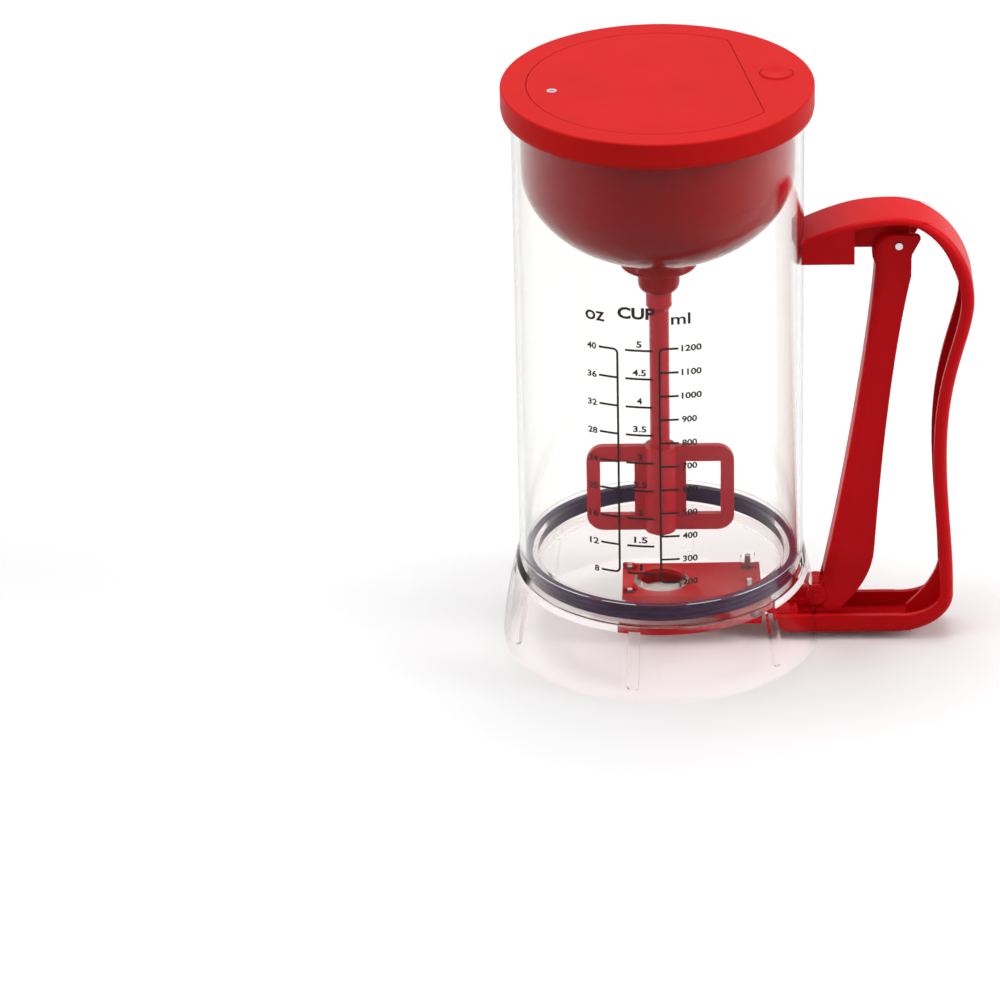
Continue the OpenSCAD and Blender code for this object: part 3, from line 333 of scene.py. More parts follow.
def prism(name, outline, low, high, axis="Y"):
    """A closed outline drawn across an axis and pushed out along it."""
    places = {"X": lambda a, b: (low, a, b), "Y": lambda a, b: (a, low, b), "Z": lambda a, b: (a, b, low)}
    draw_closed([places[axis](a, b) for a, b in outline])
    bpy.ops.mesh.edge_face_add()
    push = Vector((axis == "X", axis == "Y", axis == "Z")) * (high - low) * MM
    bpy.ops.mesh.extrude_region_move(TRANSFORM_OT_translate={"value": push})
    return leave_edit(name)


def block(name, low, high):
    """A box between two corners, in millimetres."""
    return prism(name, [(low[0], low[1]), (high[0], low[1]), (high[0], high[1]), (low[0], high[1])],
                 low[2], high[2], "Z")


def post(name, x, y, radius, low, high, sides=PIN_SIDES):
    outline = [(0, low), (radius, low), (radius, high), (0, high)]
    return turned(name, outline, sides, centre=(x, y, 0))


def cross_pin(name, x, z, radius, half):
    outline = [(0, -half), (radius, -half), (radius, half), (0, half)]
    return turned(name, outline, PIN_SIDES, centre=(x, 0, z), axis="Y")


def combine(piece, tool, operation="DIFFERENCE"):
    """Cuts a solid with another one, or keeps what they share, or adds it. The tool is used up."""
    alone(piece)
    change = piece.modifiers.new("combine", "BOOLEAN")
    change.object = tool
    change.operation = operation
    change.solver = "EXACT"
    bpy.ops.object.modifier_apply(modifier=change.name)
    alone(tool)
    bpy.ops.object.delete()
    alone(piece)
    return piece


def gather(pieces, name):
    """Joins pieces into the first one."""
    alone(pieces[0])
    for piece in pieces[1:]:
        piece.select_set(True)
    bpy.ops.object.join()
    bpy.context.object.name = name
    return bpy.context.object


def round_rims(piece, width, segments, share):
    """Rounds the edges between the side faces and the rest, by a share of the width at each."""
    sides = {}
    for face in piece.data.polygons:
        flat = abs(face.normal.y) > 0.8
        for key in face.edge_keys:
            sides.setdefault(key, []).append(flat)
    weights = piece.data.attributes.new("bevel_weight_edge", "FLOAT", "EDGE")
    for edge in piece.data.edges:
        if sorted(sides.get(tuple(sorted(edge.vertices)), [])) == [False, True]:
            ends = [piece.data.vertices[i].co / MM for i in edge.vertices]
            weights.data[edge.index].value = min(share(end) for end in ends)
    alone(piece)
    rims = piece.modifiers.new("rims", "BEVEL")
    rims.width = width * MM
    rims.segments = segments
    rims.limit_method = "WEIGHT"
    rims.use_clamp_overlap = False
    bpy.ops.object.modifier_apply(modifier=rims.name)
    left_over = piece.data.attributes.get("bevel_weight_edge")
    if left_over:
        piece.data.attributes.remove(left_over)


def soften(piece, width, segments=2, angle=40):
    """Breaks every sharp edge that is left."""
    alone(piece)
    edges = piece.modifiers.new("edges", "BEVEL")
    edges.width = width * MM
    edges.segments = segments
    edges.limit_method = "ANGLE"
    edges.angle_limit = math.radians(angle)
    edges.use_clamp_overlap = False
    bpy.ops.object.modifier_apply(modifier=edges.name)


def settle(piece, body, slot, *nodes, smooth=38, finish=None):
    """Shades a finished piece, dresses it, ties it to its body, and hides the nodes it stands for."""
    alone(piece)
    bpy.ops.object.shade_smooth_by_angle(angle=math.radians(smooth))
    shading = piece.modifiers.new("shading", "WEIGHTED_NORMAL")
    shading.keep_sharp = True
    bpy.ops.object.modifier_apply(modifier=shading.name)
    piece.data.materials.clear()
    piece.data.materials.append((finish or FINISHES[slot]).material)
    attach(piece, body)
    if nodes:
        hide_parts(*nodes)
    return piece


def bezier(a, b, c, d, steps=24):
    points = []
    for i in range(steps + 1):
        t = i / steps
        u = 1 - t
        points.append(tuple(u ** 3 * p + 3 * u * u * t * q + 3 * u * t * t * r + t ** 3 * s
                            for p, q, r, s in zip(a, b, c, d)))
    return points


def arc(centre, radius, start, end, steps=12):
    angles = [math.radians(start + (end - start) * i / steps) for i in range(steps + 1)]
    return [(centre[0] + radius * math.cos(t), centre[1] + radius * math.sin(t)) for t in angles]


def beside(path, depths):
    """A path moved to its right by a depth at each point."""
    moved = []
    for i, (point, depth) in enumerate(zip(path, depths)):
        ahead = Vector(path[min(i + 1, len(path) - 1)]) - Vector(path[max(i - 1, 0)])
        ahead.normalize()
        moved.append((point[0] + depth * ahead[1], point[1] - depth * ahead[0]))
    return moved


def off_line(point, line):
    """Distance of a point from a drawn line, both seen from the side."""
    spot = Vector((point[0], point[2]))
    best = 1e9
    for a, b in zip(line, line[1:]):
        a, b = Vector(a), Vector(b)
        along = b - a
        share = min(1, max(0, (spot - a).dot(along) / max(along.length_squared, 1e-9)))
        best = min(best, (spot - a - along * share).length)
    return best


# ---------------------------------------------------------------- tank and skirt

TANK_R, TANK_IN = 58.0, 55.5
LAP_R, LAP_Z = 56.8, 30.5
SKIRT_H, SKIRT_WALL, SKIRT_R = 41, 2.2, 65.0
FLARE_POWER = 1.5
LEDGE_IN, LEDGE_LOW = 49.8, 28.4
LAP_GAP, SEAT_GAP = 0.1, 0.08
RIB_HALF, RIB_FOOT, RIB_HEAD = 2.4, 6.4, 29.4
RIB_OUT, RIB_IN = 1.1, 4.0
FIRST_RIB, RIB_STEP = 19, 60
FOOT_WAY_HALF, FOOT_WAY_TOP = 11.9, 11.7
LEVER_WAY_HALF, LEVER_WAY_TOP = 7.2, 23.6
LUG_LOW, LUG_HIGH = 173.5, 176.5
LUG_HALF = 5
SCREW_X, SCREW_BORE = 63.6, 1.5
ROUND_STEPS = 224


def skirt_r(z):
    return TANK_R + (SKIRT_R - TANK_R) * (1 - (max(z, 0) / SKIRT_H) ** FLARE_POWER)


def make_tank():
    """Clear tube with a lapped lower end, a rounded mouth and the lug for the handle's screw."""
    top = TANK_TOP / MM
    tube = turned("tank_tube", [
        (TANK_IN, LAP_Z + 0.3), (TANK_IN + 0.3, LAP_Z), (LAP_R - 0.3, LAP_Z), (LAP_R, LAP_Z + 0.3),
        (LAP_R, SKIRT_H), (TANK_R - 0.2, SKIRT_H), (TANK_R, SKIRT_H + 0.2), (TANK_R, SKIRT_H + 1.2),
        (TANK_R, top - 2), (TANK_R, top - 0.8), (57.75, top - 0.2), (57.2, top), (56.1, top),
        (55.65, top - 0.15),
        (TANK_IN, top - 0.6), (TANK_IN, top - 2), (TANK_IN, LAP_Z + 2)], ROUND_STEPS)
    lug = block("lug", (57, -LUG_HALF, LUG_LOW), (66, LUG_HALF, LUG_HIGH))
    combine(lug, post("lug_hole", SCREW_X, 0, SCREW_BORE, LUG_LOW - 1, LUG_HIGH + 1))
    combine(tube, lug, "UNION")
    return settle(tube, "base", "clear_tank", "tank")


def make_skirt():
    """Clear flared skirt with its ledge, six half-round ribs and the way in for the handle's foot."""
    lift = [SKIRT_H * i / 28 for i in range(29)]
    outer = [(skirt_r(z), z) for z in lift if z > 0.4]
    inner = [(skirt_r(z) - SKIRT_WALL, z) for z in lift if 0.4 < z < 28]
    seat = LAP_Z - SEAT_GAP
    ledge = [(LAP_R + LAP_GAP, SKIRT_H), (LAP_R + LAP_GAP, seat), (LEDGE_IN, seat),
             (LEDGE_IN, LEDGE_LOW), (skirt_r(LEDGE_LOW) - SKIRT_WALL, LEDGE_LOW)]
    foot = [(SKIRT_R - SKIRT_WALL + 0.1, 0.35), (SKIRT_R - 1.6, 0), (SKIRT_R - 0.6, 0),
            (SKIRT_R - 0.1, 0.35)]
    shell = turned("skirt_shell", outer + ledge + inner[::-1] + foot, ROUND_STEPS)
    rib_lift = [z for z in lift if 3 < z < 30]
    ring = turned("rib_ring", [(skirt_r(z) - RIB_OUT, z) for z in rib_lift]
                  + [(skirt_r(z) - RIB_IN, z) for z in rib_lift[::-1]], ROUND_STEPS)
    rib = arc((0, RIB_FOOT), RIB_HALF, -180, 0, 14) + [(RIB_HALF, RIB_HEAD), (-RIB_HALF, RIB_HEAD)]
    ribs = []
    for turn in range(FIRST_RIB, FIRST_RIB + 360, RIB_STEP):
        bar = prism("rib", rib, 45, 66, "X")
        alone(bar)
        bar.rotation_euler = (0, 0, math.radians(turn))
        bpy.ops.object.transform_apply(rotation=True)
        ribs.append(bar)
    bars = gather(ribs, "rib_bars")
    combine(ring, bars, "INTERSECT")
    combine(shell, ring, "UNION")
    combine(shell, block("foot_way", (51, -FOOT_WAY_HALF, -1), (70, FOOT_WAY_HALF, FOOT_WAY_TOP)))
    combine(shell, block("lever_way", (51, -LEVER_WAY_HALF, -1), (70, LEVER_WAY_HALF, LEVER_WAY_TOP)))
    return settle(shell, "base", "clear_skirt", "base_skirt", smooth=30)


# ---------------------------------------------------------------- scale printed on the tank

LINE_W = 0.9
# The marks are drawn this far in front of the axis and then pressed back onto the tank
DRAWN_Y = -60
CORNER = 1.8
PRINT_LIFT, PRINT_THICK = 0.06, 0.03
ML_LINE, ML_TICK_END, ML_LABEL = -90.0, -82.6, -81.4
OZ_LINE, OZ_TICK_END, OZ_LABEL = -106.5, -114.2, -115.2
CUP_LEFT, CUP_RIGHT, CUP_NUMBER = -103.4, -92.6, -97.9
DIGIT_W, DIGIT_H = 2.03, 2.8
MARK_TOP, MARK_LOW = 154.8, 51.8
CUP_TOP, CUP_LOW = 153.9, 55.6
# Half widths of a cup number with a point in it, of a 1 and of any other digit
POINT_HALF, ONE_HALF, OTHER_HALF = 2.7, 0.55, 1.05
CUP_LIFT = 1.3


def round_x(azimuth):
    return TANK_R * math.cos(math.radians(azimuth))


def degrees(length):
    return math.degrees(length / TANK_R)


def ribbon(path):
    """An even line on the tank: a path of azimuth and height, seen from the front."""
    flat = [(math.radians(a + 90) * TANK_R, z) for a, z in path]
    left = beside(flat, [LINE_W / 2] * len(flat))
    right = beside(flat, [-LINE_W / 2] * len(flat))
    chains = [[(TANK_R * math.sin(x / TANK_R), DRAWN_Y, z) for x, z in side] for side in (left, right)]
    start_point(chains[0][0])
    draw(chains[0])
    bpy.ops.mesh.select_all(action="DESELECT")
    bpy.ops.mesh.primitive_plane_add(size=MM)
    bpy.ops.mesh.merge(type="CENTER")
    bpy.ops.transform.translate(value=Vector(chains[1][0]) * MM)
    draw(chains[1])
    bpy.ops.mesh.select_all(action="SELECT")
    bpy.ops.mesh.bridge_edge_loops()
    bpy.ops.object.mode_set(mode="OBJECT")
    return bpy.context.object


def straight(a0, a1, z):
    return ribbon([(a0 + (a1 - a0) * i / 6, z) for i in range(7)])


def bracket(line, end, top, low):
    """A tall line that turns over a rounded corner into its first and its last mark."""
    side = 1 if end > line else -1
    wide = side * degrees(CORNER)
    bends = [math.radians(t) for t in range(0, 91, 15)]
    over_top = [(line + wide * (1 - math.sin(t)), top - CORNER * (1 - math.cos(t))) for t in bends]
    under = [(line + wide * (1 - math.cos(t)), low + CORNER * (1 - math.sin(t))) for t in bends]
    steps = [(end + (line + wide - end) * i / 4, top) for i in range(4)]
    back = [(line + wide + (end - line - wide) * i / 4, low) for i in range(1, 5)]
    return ribbon(steps + over_top + under + back)


def label(words, a0, a1, z0, z1, weight=0.03):
    """Words set flat, made a mesh, and fitted between two azimuths and two heights."""
    bpy.ops.object.text_add(rotation=(math.pi / 2, 0, 0))
    words_piece = bpy.context.object
    words_piece.data.body = words
    words_piece.data.offset = weight
    words_piece.data.resolution_u = 3
    bpy.ops.object.convert(target="MESH")
    words_piece = bpy.context.object
    bpy.ops.object.transform_apply(rotation=True)
    xs = [v.co.x for v in words_piece.data.vertices]
    zs = [v.co.z for v in words_piece.data.vertices]
    x0, x1 = round_x(a0), round_x(a1)
    wide = (x1 - x0) * MM / (max(xs) - min(xs))
    tall = (z1 - z0) * MM / (max(zs) - min(zs))
    bpy.ops.object.mode_set(mode="EDIT")
    bpy.ops.mesh.select_all(action="SELECT")
    bpy.ops.transform.translate(value=(-min(xs), 0, -min(zs)))
    bpy.ops.transform.resize(value=(wide, 1, tall), center_override=(0, 0, 0))
    bpy.ops.transform.translate(value=(x0 * MM, DRAWN_Y * MM, z0 * MM))
    bpy.ops.object.mode_set(mode="OBJECT")
    return words_piece


def print_scale(tank):
    """Volume scale in fluid ounces, cups and millilitres, wrapped on the front of the tank."""
    marks = [bracket(ML_LINE, ML_TICK_END, MARK_TOP, MARK_LOW)]
    step = (MARK_TOP - MARK_LOW) / 10
    for hundred in range(2, 13):
        z = MARK_LOW + step * (hundred - 2)
        if 2 < hundred < 12:
            marks.append(straight(ML_LINE, ML_TICK_END, z))
        words = str(hundred * 100)
        wide = degrees(DIGIT_W * len(words))
        marks.append(label(words, ML_LABEL, ML_LABEL + wide, z - DIGIT_H / 2, z + DIGIT_H / 2))
    cup_step = (CUP_TOP - CUP_LOW) / 8
    marks.append(bracket(OZ_LINE, OZ_TICK_END, CUP_TOP, CUP_LOW))
    for k in range(9):
        z = CUP_LOW + cup_step * k
        ounces = str(8 + 4 * k)
        if 0 < k < 8:
            marks.append(straight(OZ_LINE, OZ_TICK_END, z))
        wide = degrees(DIGIT_W * len(ounces))
        marks.append(label(ounces, OZ_LABEL - wide, OZ_LABEL, z - DIGIT_H / 2, z + DIGIT_H / 2))
        marks.append(straight(CUP_LEFT, CUP_RIGHT, z))
        cups = str(1 + k / 2).replace(".0", "")
        half = degrees(POINT_HALF if "." in cups else ONE_HALF if cups == "1" else OTHER_HALF)
        foot = z + CUP_LIFT
        marks.append(label(cups, CUP_NUMBER - half, CUP_NUMBER + half, foot, foot + DIGIT_H))
    marks.append(label("CUP", -106.3, -91.5, 167.3, 172.4, 0.035))
    marks.append(label("oz", -119.8, -111.6, 164.9, 169.1, 0.015))
    marks.append(label("ml", -85.4, -77.8, 165.2, 170.0, 0.015))
    ink = gather(marks, "scale_print")
    alone(ink)
    wrap = ink.modifiers.new("wrap", "SHRINKWRAP")
    wrap.target = tank
    wrap.wrap_method = "PROJECT"
    wrap.use_project_y = True
    wrap.offset = PRINT_LIFT * MM
    bpy.ops.object.modifier_apply(modifier=wrap.name)
    bpy.ops.object.mode_set(mode="EDIT")
    bpy.ops.mesh.select_mode(type="FACE")
    bpy.ops.mesh.select_all(action="DESELECT")
    bpy.ops.object.mode_set(mode="OBJECT")
    for face in ink.data.polygons:
        face.select = face.normal.y > 0
    bpy.ops.object.mode_set(mode="EDIT")
    bpy.ops.mesh.flip_normals()
    bpy.ops.object.mode_set(mode="OBJECT")
    body = ink.modifiers.new("body", "SOLIDIFY")
    body.thickness = PRINT_THICK * MM
    body.offset = 1
    bpy.ops.object.modifier_apply(modifier=body.name)
    return settle(ink, "base", "black_plastic", finish=INK)


# ---------------------------------------------------------------- handle

TANK_SIDE = 58.1
ARCH_ROOT, ARCH_TOP, ARCH_X = 180.0, 188.8, 94.0
NARROW_X = ARCH_X + 8
GRIP_X, GRIP_Z = 125.8, 151.0
WAIST_X, WAIST_Z = 115.8, 86.0
HEEL_X, HEEL_RISE, HEEL_RUN = 119.3, 17.0, 24.0
BAR_LOW, BAR_DEPTH = 2.7, 8.7
GRIP_DEPTH, SKIN, SIDE = 5.4, 2.5, 2.2
BLOCK_LOW, BLOCK_X, BLOCK_HALF, GRIP_HALF = 169.8, 77.7, 13.0, 11.6
FOOT_X, FOOT_ROUND = 45.5, 8.0
PIVOT_X, PIVOT_Z = 95.5, 175.3
LINK_X, LINK_Z = 63.5, 18.4
HANDLE_ROUND = 3.3
LINE_STEPS = 24
BOSS_R, BOSS_BORE, HEAD_BORE = 2.4, 1.3, 2.1
BOSS_X, BOSS_Y, BOSS_TOP = 53, 7.0, 11.7
WEB_HALF, PIVOT_LUG_HALF = 1.2, 2.7


def handle_lines():
    """The handle's outer line, the same line moved in by its skin, and the edge of its side walls."""
    arch = bezier((58, ARCH_ROOT), (70, ARCH_ROOT + 5.5), (ARCH_X - 14, ARCH_TOP), (ARCH_X, ARCH_TOP))
    shoulder = bezier((ARCH_X, ARCH_TOP), (ARCH_X + 0.55 * (GRIP_X - ARCH_X), ARCH_TOP),
                      (GRIP_X, GRIP_Z + 0.55 * (ARCH_TOP - GRIP_Z)), (GRIP_X, GRIP_Z))
    grip = bezier((GRIP_X, GRIP_Z), (GRIP_X, GRIP_Z - 15), (WAIST_X, WAIST_Z + 35), (WAIST_X, WAIST_Z))
    heel_top = BAR_LOW + HEEL_RISE
    shank = bezier((WAIST_X, WAIST_Z), (WAIST_X, WAIST_Z - 24), (HEEL_X, heel_top + 22), (HEEL_X, heel_top))
    turns = [math.radians(90 * i / LINE_STEPS) for i in range(LINE_STEPS + 1)]
    heel = [(HEEL_X - HEEL_RUN * (1 - math.cos(t)), BAR_LOW + HEEL_RISE * (1 - math.sin(t)))
            for t in turns]
    path = arch + shoulder[1:] + grip[1:] + shank[1:] + heel[1:]
    foot = arc((FOOT_X + FOOT_ROUND, BAR_LOW + FOOT_ROUND), FOOT_ROUND, -90, -180)
    outer = path + foot

    def ramp(i, i0, i1, a, b):
        return a + (b - a) * min(1, max(0, (i - i0) / (i1 - i0)))

    grip_at, heel_at = 2 * LINE_STEPS, 4 * LINE_STEPS
    depths = [ramp(i, LINE_STEPS + 4, grip_at - 8, SKIN, GRIP_DEPTH) if i < grip_at
              else ramp(i, heel_at, heel_at + LINE_STEPS, GRIP_DEPTH, BAR_DEPTH) for i in range(len(path))]
    return outer, beside(outer, [SKIN] * len(outer)), beside(path, depths)


def handle_plan(inset):
    half0, half1 = BLOCK_HALF - inset, GRIP_HALF - inset
    outline = [(0, -half0), (BLOCK_X, -half0), (NARROW_X, -half1), (130, -half1),
               (130, half1), (NARROW_X, half1), (BLOCK_X, half0), (0, half0)]
    return prism("plan", outline, -1, 195, "Z")


def trim_low(piece, half):
    """The bar below the trigger is as narrow as the grip."""
    for side in (-1, 1):
        low, high = sorted((side * half, side * 20))
        combine(piece, block("trim", (30, low, -5), (NARROW_X - 0.05, high, 85)))
    return piece


def make_handle():
    outer, skin, inner = handle_lines()
    under = [p for p in inner if p[0] > BLOCK_X or p[1] < 120]
    start = next(p for p in inner if p[0] > BLOCK_X)
    side = ([(54, BLOCK_LOW), (BLOCK_X, BLOCK_LOW), (BLOCK_X, start[1] - 0.4)] + under
            + [(FOOT_X, BAR_LOW + BAR_DEPTH)] + outer[::-1] + [(54, ARCH_ROOT)])
    shell = prism("handle", side, -BLOCK_HALF, BLOCK_HALF)
    combine(shell, handle_plan(0), "INTERSECT")
    trim_low(shell, GRIP_HALF)
    rim = [(54, ARCH_ROOT)] + outer

    def rim_share(p):
        if off_line(p, rim) > 0.02:
            return 0
        return min(1, (off_line(p, inner) - 0.6) / HANDLE_ROUND)

    round_rims(shell, HANDLE_ROUND, 6, rim_share)
    hollow = prism("hollow", [(50, BLOCK_LOW - 1), (50, ARCH_ROOT - SKIN - 3)] + skin
                   + [(FOOT_X + SKIN, BLOCK_LOW - 1)], -BLOCK_HALF, BLOCK_HALF)
    combine(hollow, handle_plan(SIDE), "INTERSECT")
    trim_low(hollow, GRIP_HALF - SIDE)
    combine(hollow, post("saddle", 0, 0, TANK_SIDE + 2.2, 85, 195, ROUND_STEPS))
    combine(shell, hollow)
    combine(shell, post("tank_side", 0, 0, TANK_SIDE, SKIRT_H, 195, ROUND_STEPS))

    top = (HEEL_X - GRIP_DEPTH - 0.6, BAR_LOW + 28)
    end = (HEEL_X - 19, BAR_LOW + 8)
    edge = bezier(top, (top[0] - 1.5, top[1] - 8), (end[0] + 5, end[1] + 4.5), end)
    out_x = top[0] + GRIP_DEPTH - 1
    back = [p for p in skin if p[0] > end[0] and p[1] < top[1]]
    web = prism("gusset", edge + [(end[0], BAR_LOW + 1.4)] + [p for p in back[::-1] if p[0] < out_x + 1]
                + [(out_x, top[1])], -WEB_HALF, WEB_HALF)
    soften(web, 0.3)

    ceiling = [p for p in skin if BLOCK_X < p[0] < 100 and p[1] > 150]
    lug_low = PIVOT_Z - 1.5 - 1.2
    lug = prism("pivot_lug", [(BLOCK_X - SIDE, lug_low), (BLOCK_X - SIDE, ceiling[0][1] + 0.5)]
                + [(x, z + 1.2) for x, z in ceiling] + [(100, ceiling[-1][1] + 1), (100, lug_low)],
                -PIVOT_LUG_HALF, PIVOT_LUG_HALF)
    soften(lug, 0.5)

    shelf_half = BLOCK_HALF - SIDE / 2
    shelf = block("shelf", (58, -shelf_half, BLOCK_LOW + 1.5), (69, shelf_half, LUG_LOW - LAP_GAP))
    combine(shelf, post("screw_way", SCREW_X, 0, SCREW_BORE, 160, 190))
    combine(shelf, post("tank_side", 0, 0, TANK_SIDE, 160, 190, ROUND_STEPS))

    way_half = LUG_HALF + LAP_GAP
    way = block("lug_way", (57, -way_half, LUG_LOW - LAP_GAP), (62, way_half, LUG_HIGH + LAP_GAP))
    combine(shell, way)
    parts = [shell, web, lug, shelf]
    for y in (-BOSS_Y, BOSS_Y):
        boss = post("boss", BOSS_X, y, BOSS_R, BAR_LOW + 1.2, BOSS_TOP)
        combine(boss, post("boss_bore", BOSS_X, y, BOSS_BORE, 0, 15))
        parts.append(boss)
        combine(shell, post("boss_bore", BOSS_X, y, BOSS_BORE, 0, 9))
        combine(shell, post("head_bore", BOSS_X, y, HEAD_BORE, 0, BAR_LOW + 1.6))
    handle = gather(parts, "handle")
    return settle(handle, "base", "handle_red", "handle_frame")


# ---------------------------------------------------------------- trigger

TRIGGER_HALF, CLEVIS_HALF, TRIGGER_WALL = 8.0, 6.6, 2.2
FACE_OUT, HEAD_BACK = 9.3, 100.55
KNEE = (87.1, 42.4)
NARROW_LOW, NARROW_HIGH = 7, 18
FRONT_ROUND, BACK_ROUND = 2.6, 0.7
EYE_R, PIVOT_BORE, LINK_BORE = 4.5, 1.56, 1.52


def trigger_front(inset):
    """The trigger from the front: narrow at the link, full width above it."""
    low, high = CLEVIS_HALF - inset, TRIGGER_HALF - inset
    half = [(low, 0), (low, LINK_Z + NARROW_LOW), (high, LINK_Z + NARROW_HIGH), (high, ARCH_TOP)]
    outline = [(-y, z) for y, z in half] + half[::-1]
    return prism("front", outline, 30, 140, "X")


def crossing(line, level):
    """Where a falling line passes a level."""
    for (x0, z0), (x1, z1) in zip(line, line[1:]):
        if z1 <= level <= z0:
            return x0 + (x1 - x0) * (z0 - level) / max(z0 - z1, 1e-6)
    return line[-1][0]


def trigger_half(z):
    share = (z - LINK_Z - NARROW_LOW) / (NARROW_HIGH - NARROW_LOW)
    return CLEVIS_HALF + (TRIGGER_HALF - CLEVIS_HALF) * min(1, max(0, share))


def stacked(name, front, back, half, levels):
    """A lever from the top down: each level slice is pulled from the last and fitted to its own width."""
    top = levels[0]
    x0, x1, y = crossing(front, top), crossing(back, top), half(top)
    front_x, front_y = x0 + FRONT_ROUND, y - FRONT_ROUND
    back_x, back_y = x1 - BACK_ROUND, y - BACK_ROUND
    outline = (arc((front_x, front_y), FRONT_ROUND, 180, 90, 6) + arc((back_x, back_y), BACK_ROUND, 90, 0, 3)
               + arc((back_x, -back_y), BACK_ROUND, 0, -90, 3)
               + arc((front_x, -front_y), FRONT_ROUND, -90, -180, 6))
    draw_closed([(a, b, top) for a, b in outline])
    bpy.ops.mesh.edge_face_add()
    for level in levels[1:]:
        new_x0, new_x1, new_y = crossing(front, level), crossing(back, level), half(level)
        bpy.ops.mesh.extrude_region_move(TRANSFORM_OT_translate={"value": (0, 0, (level - top) * MM)})
        wider = ((new_x1 - new_x0) / (x1 - x0), new_y / y, 1)
        bpy.ops.transform.resize(value=wider, center_override=(x0 * MM, 0, level * MM))
        bpy.ops.transform.translate(value=((new_x0 - x0) * MM, 0, 0))
        top, x0, x1, y = level, new_x0, new_x1, new_y
    return leave_edit(name)


def make_trigger():
    long = PIVOT_Z - LINK_Z
    face = bezier((PIVOT_X - FACE_OUT, PIVOT_Z - 8.7), (PIVOT_X - FACE_OUT - 1.5, PIVOT_Z - 0.27 * long),
                  (LINK_X + 8, LINK_Z + 0.2 * long), (LINK_X + 2, LINK_Z + 6))
    back = bezier((HEAD_BACK, PIVOT_Z - 13.2), (HEAD_BACK - 7.6, PIVOT_Z - 0.31 * long),
                  (KNEE[0] + 2, KNEE[1] + 0.21 * long), KNEE)
    back += bezier(KNEE, (KNEE[0] - 0.4, KNEE[1] - 13), (LINK_X + 18.6, LINK_Z + 2),
                   (LINK_X + 8.3, LINK_Z - 7.5))[1:]
    head = [(HEAD_BACK + 1, PIVOT_Z + 4.9), (HEAD_BACK + 2.4, PIVOT_Z + 4.7),
            (HEAD_BACK + 3.4, PIVOT_Z + 3.8), (HEAD_BACK + 3.6, PIVOT_Z + 2.6),
            (HEAD_BACK + 2.6, PIVOT_Z + 0.6), (HEAD_BACK, PIVOT_Z - 4.3)]
    brow = bezier((PIVOT_X - 3.4, PIVOT_Z + 4.9), (PIVOT_X - 7, PIVOT_Z + 4.6),
                  (PIVOT_X - FACE_OUT - 1.6, PIVOT_Z + 0.5), (PIVOT_X - FACE_OUT - 1.2, PIVOT_Z - 5.5), 10)
    toe = [(LINK_X + 0.6, LINK_Z), (LINK_X + 0.9, LINK_Z - 4.0), (LINK_X + 1.9, LINK_Z - 6.6),
           (LINK_X + 4.5, LINK_Z - 7.9)]
    levels = [z for _, z in brow] + [z for _, z in face] + [22, LINK_Z, 16, 14, 12.4, 11.4, LINK_Z - 7.5]
    lever = stacked("trigger_lever", brow + face + toe, head + back, trigger_half, levels)
    combine(lever, cross_pin("eye", LINK_X, LINK_Z, EYE_R, CLEVIS_HALF), "UNION")
    low = LINK_Z + 8.57
    hollow = prism("hollow", [(x + TRIGGER_WALL, z) for x, z in face if z > low]
                   + [(55, low), (55, -1), (130, -1), (130, 190), (79.5, 190), (79.5, PIVOT_Z - 4.3),
                      (PIVOT_X - FACE_OUT + TRIGGER_WALL, PIVOT_Z - 4.3)], -TRIGGER_HALF, TRIGGER_HALF)
    combine(hollow, trigger_front(TRIGGER_WALL), "INTERSECT")
    combine(lever, hollow)
    combine(lever, cross_pin("pivot_hole", PIVOT_X, PIVOT_Z, PIVOT_BORE, 12))
    combine(lever, cross_pin("link_hole", LINK_X, LINK_Z, LINK_BORE, 12))
    soften(lever, 0.3, angle=50)
    return settle(lever, "trigger", "handle_red", "trigger")


# ---------------------------------------------------------------- cells

CELL_R, CELL_L, CELL_SIDES = 7.25, 50.5, 64
STEEL_R, STEEL_END = 6.45, 1.5


def make_cells():
    """One cell, turned with its crimped ends and its cap, and copied into the four places."""
    for number in range(1, 5):
        node = "battery_%d" % number
        low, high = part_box(node)
        x, z = (low.x + high.x) / 2 / MM, (low.z + high.z) / 2 / MM
        way = 1 if number % 2 else -1
        half = CELL_L / 2
        outline = [(0, -half), (5.9, -half), (6.2, -half + 0.35), (6.5, -half + 0.1),
                   (CELL_R - 0.25, -half + 0.1), (CELL_R, -half + 0.6), (CELL_R, half - 3.2),
                   (CELL_R - 0.35, half - 2.7), (CELL_R - 0.35, half - 2.4), (CELL_R, half - 1.9),
                   (CELL_R - 0.1, half - 1.35), (CELL_R - 0.8, half - 1.15), (5.2, half - 1.3),
                   (2.9, half - 1.3), (2.75, half - 1.1), (2.7, half - 0.25), (2.4, half), (0, half)]
        facing = [(r, way * h) for r, h in outline]
        cell = turned("cell_%d" % number, facing, CELL_SIDES, centre=(x, 0, z), axis="Y")
        settle(cell, "lid_unit", "battery_skin", node)
        cell.data.materials.append(STEEL.material)
        for face in cell.data.polygons:
            spot = face.center / MM
            out = math.hypot(spot.x - x, spot.z - z)
            if out < STEEL_R or way * spot.y > half - STEEL_END:
                face.material_index = 1


TANK = make_tank()
make_skirt()
print_scale(TANK)
make_handle()
make_trigger()
make_cells()

# ---------------------------------------------------------------- floor, light and background

FLOOR_SIZE = 14
FLOOR_SEEN = (1.0, 1.0, 1.0)
FLOOR_BOUNCE = (0.42, 0.42, 0.42)
FAR_FLOOR, FAR_SOFT = 1.1, 0.6
SKY_AS_LAMP = 0.35
LAMPS_AIM = (0, 0, 0.12)


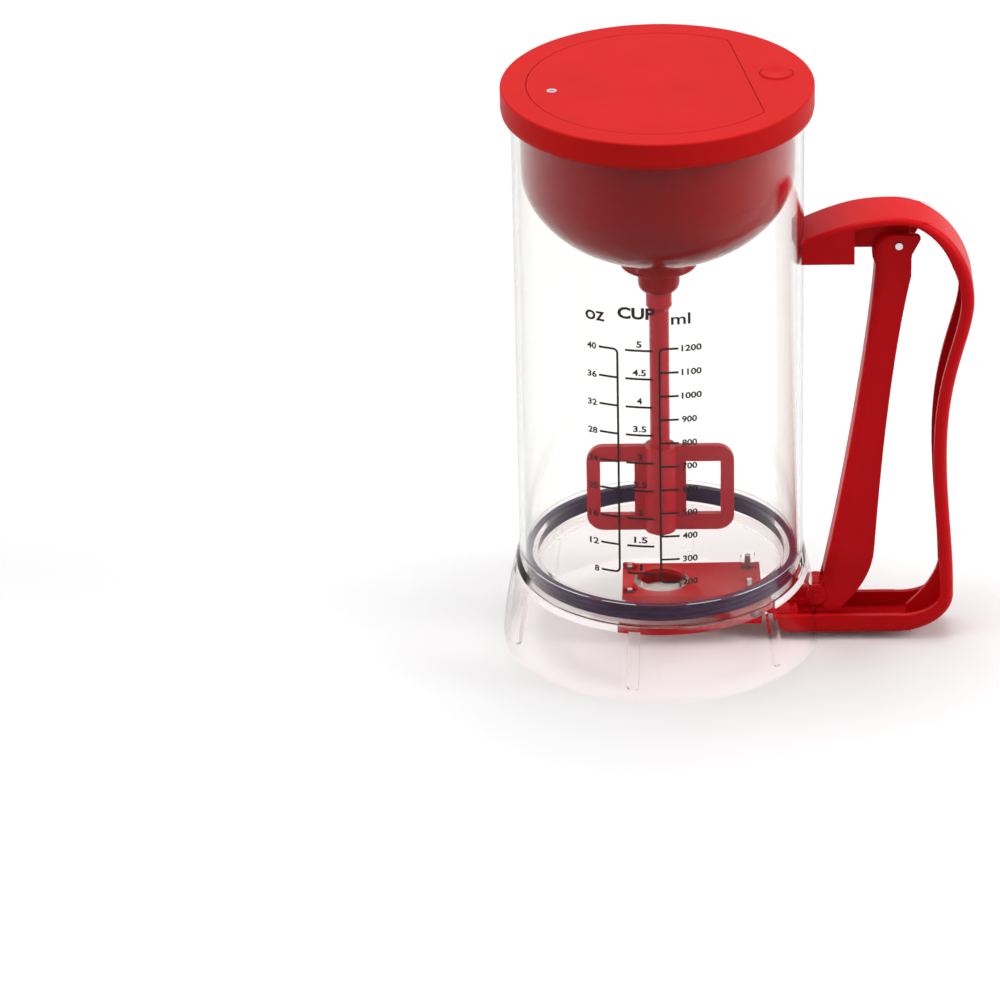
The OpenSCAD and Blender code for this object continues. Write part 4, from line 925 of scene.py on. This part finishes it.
def seen_directly(finish):
    """1 where a ray comes from the camera, or from gloss or clear plastic on its way there."""
    camera, glossy, clear = [finish.node("ShaderNodeLightPath", {}, {}, "Is %s Ray" % kind)
                             for kind in ("Camera", "Glossy", "Transmission")]
    bounces = finish.node("ShaderNodeLightPath", {}, {}, "Diffuse Depth")
    return camera.most(glossy).most(clear) * bounces.below(0.5)


def lay_floor():
    """A plain pale floor that throws little light back up and stays white far from the lamps."""
    bpy.ops.mesh.primitive_plane_add(size=FLOOR_SIZE)
    floor = bpy.context.object
    floor.name = "floor"
    finish = Finish("floor", Roughness=0.6, Specular_IOR_Level=0.0, Emission_Strength=1.0)
    cloudy = finish.colour(finish.noise(3), tuple(c * 0.985 for c in FLOOR_SEEN), FLOOR_SEEN)
    seen = seen_directly(finish)
    finish.give("Base Color", finish.colour(seen, FLOOR_BOUNCE, cloudy))
    away = finish.node("ShaderNodeVectorMath", {"operation": "LENGTH"}, {0: finish.place()}, "Value")
    far = seen * away.above(FAR_FLOOR, FAR_SOFT)
    finish.give("Emission Color", finish.colour(far, (0, 0, 0), FLOOR_SEEN))
    floor.data.materials.append(finish.material)


def area_light(name, at, aim, size, power):
    bpy.ops.object.light_add(type="AREA")
    light = bpy.context.object
    light.name = name
    light.data.shape = "RECTANGLE"
    light.data.size, light.data.size_y = size
    light.data.energy = power
    turn = (Vector(aim) - Vector(at)).to_track_quat("-Z", "Y").to_matrix().to_4x4()
    light.matrix_world = Matrix.Translation(Vector(at)) @ turn


class Sky(Finish):
    """The world's own node tree, written as a finish is."""

    def __init__(self, name):
        self.world = bpy.data.worlds.new(name)
        self.world.use_nodes = True
        self.tree = self.world.node_tree
        self.tree.nodes.clear()
        self.output = self.tree.nodes.new("ShaderNodeOutputWorld")


def fill_world():
    """White where it is seen directly, in gloss or through clear plastic, and softer as a lamp."""
    sky = Sky("studio")
    bpy.context.scene.world = sky.world
    strength = SKY_AS_LAMP + (1 - SKY_AS_LAMP) * seen_directly(sky)
    glow = sky.node("ShaderNodeBackground", {}, {"Color": (1, 1, 1), "Strength": strength})
    sky.tree.links.new(glow.socket, sky.output.inputs["Surface"])


lay_floor()
area_light("overhead", (-0.1, 0.15, 2.1), LAMPS_AIM, (1.5, 1.2), 25)
area_light("right", (1.9, -0.35, 1.0), LAMPS_AIM, (0.7, 1.3), 21)
area_light("left", (-1.8, -0.7, 0.9), LAMPS_AIM, (0.6, 1.3), 8)
fill_world()
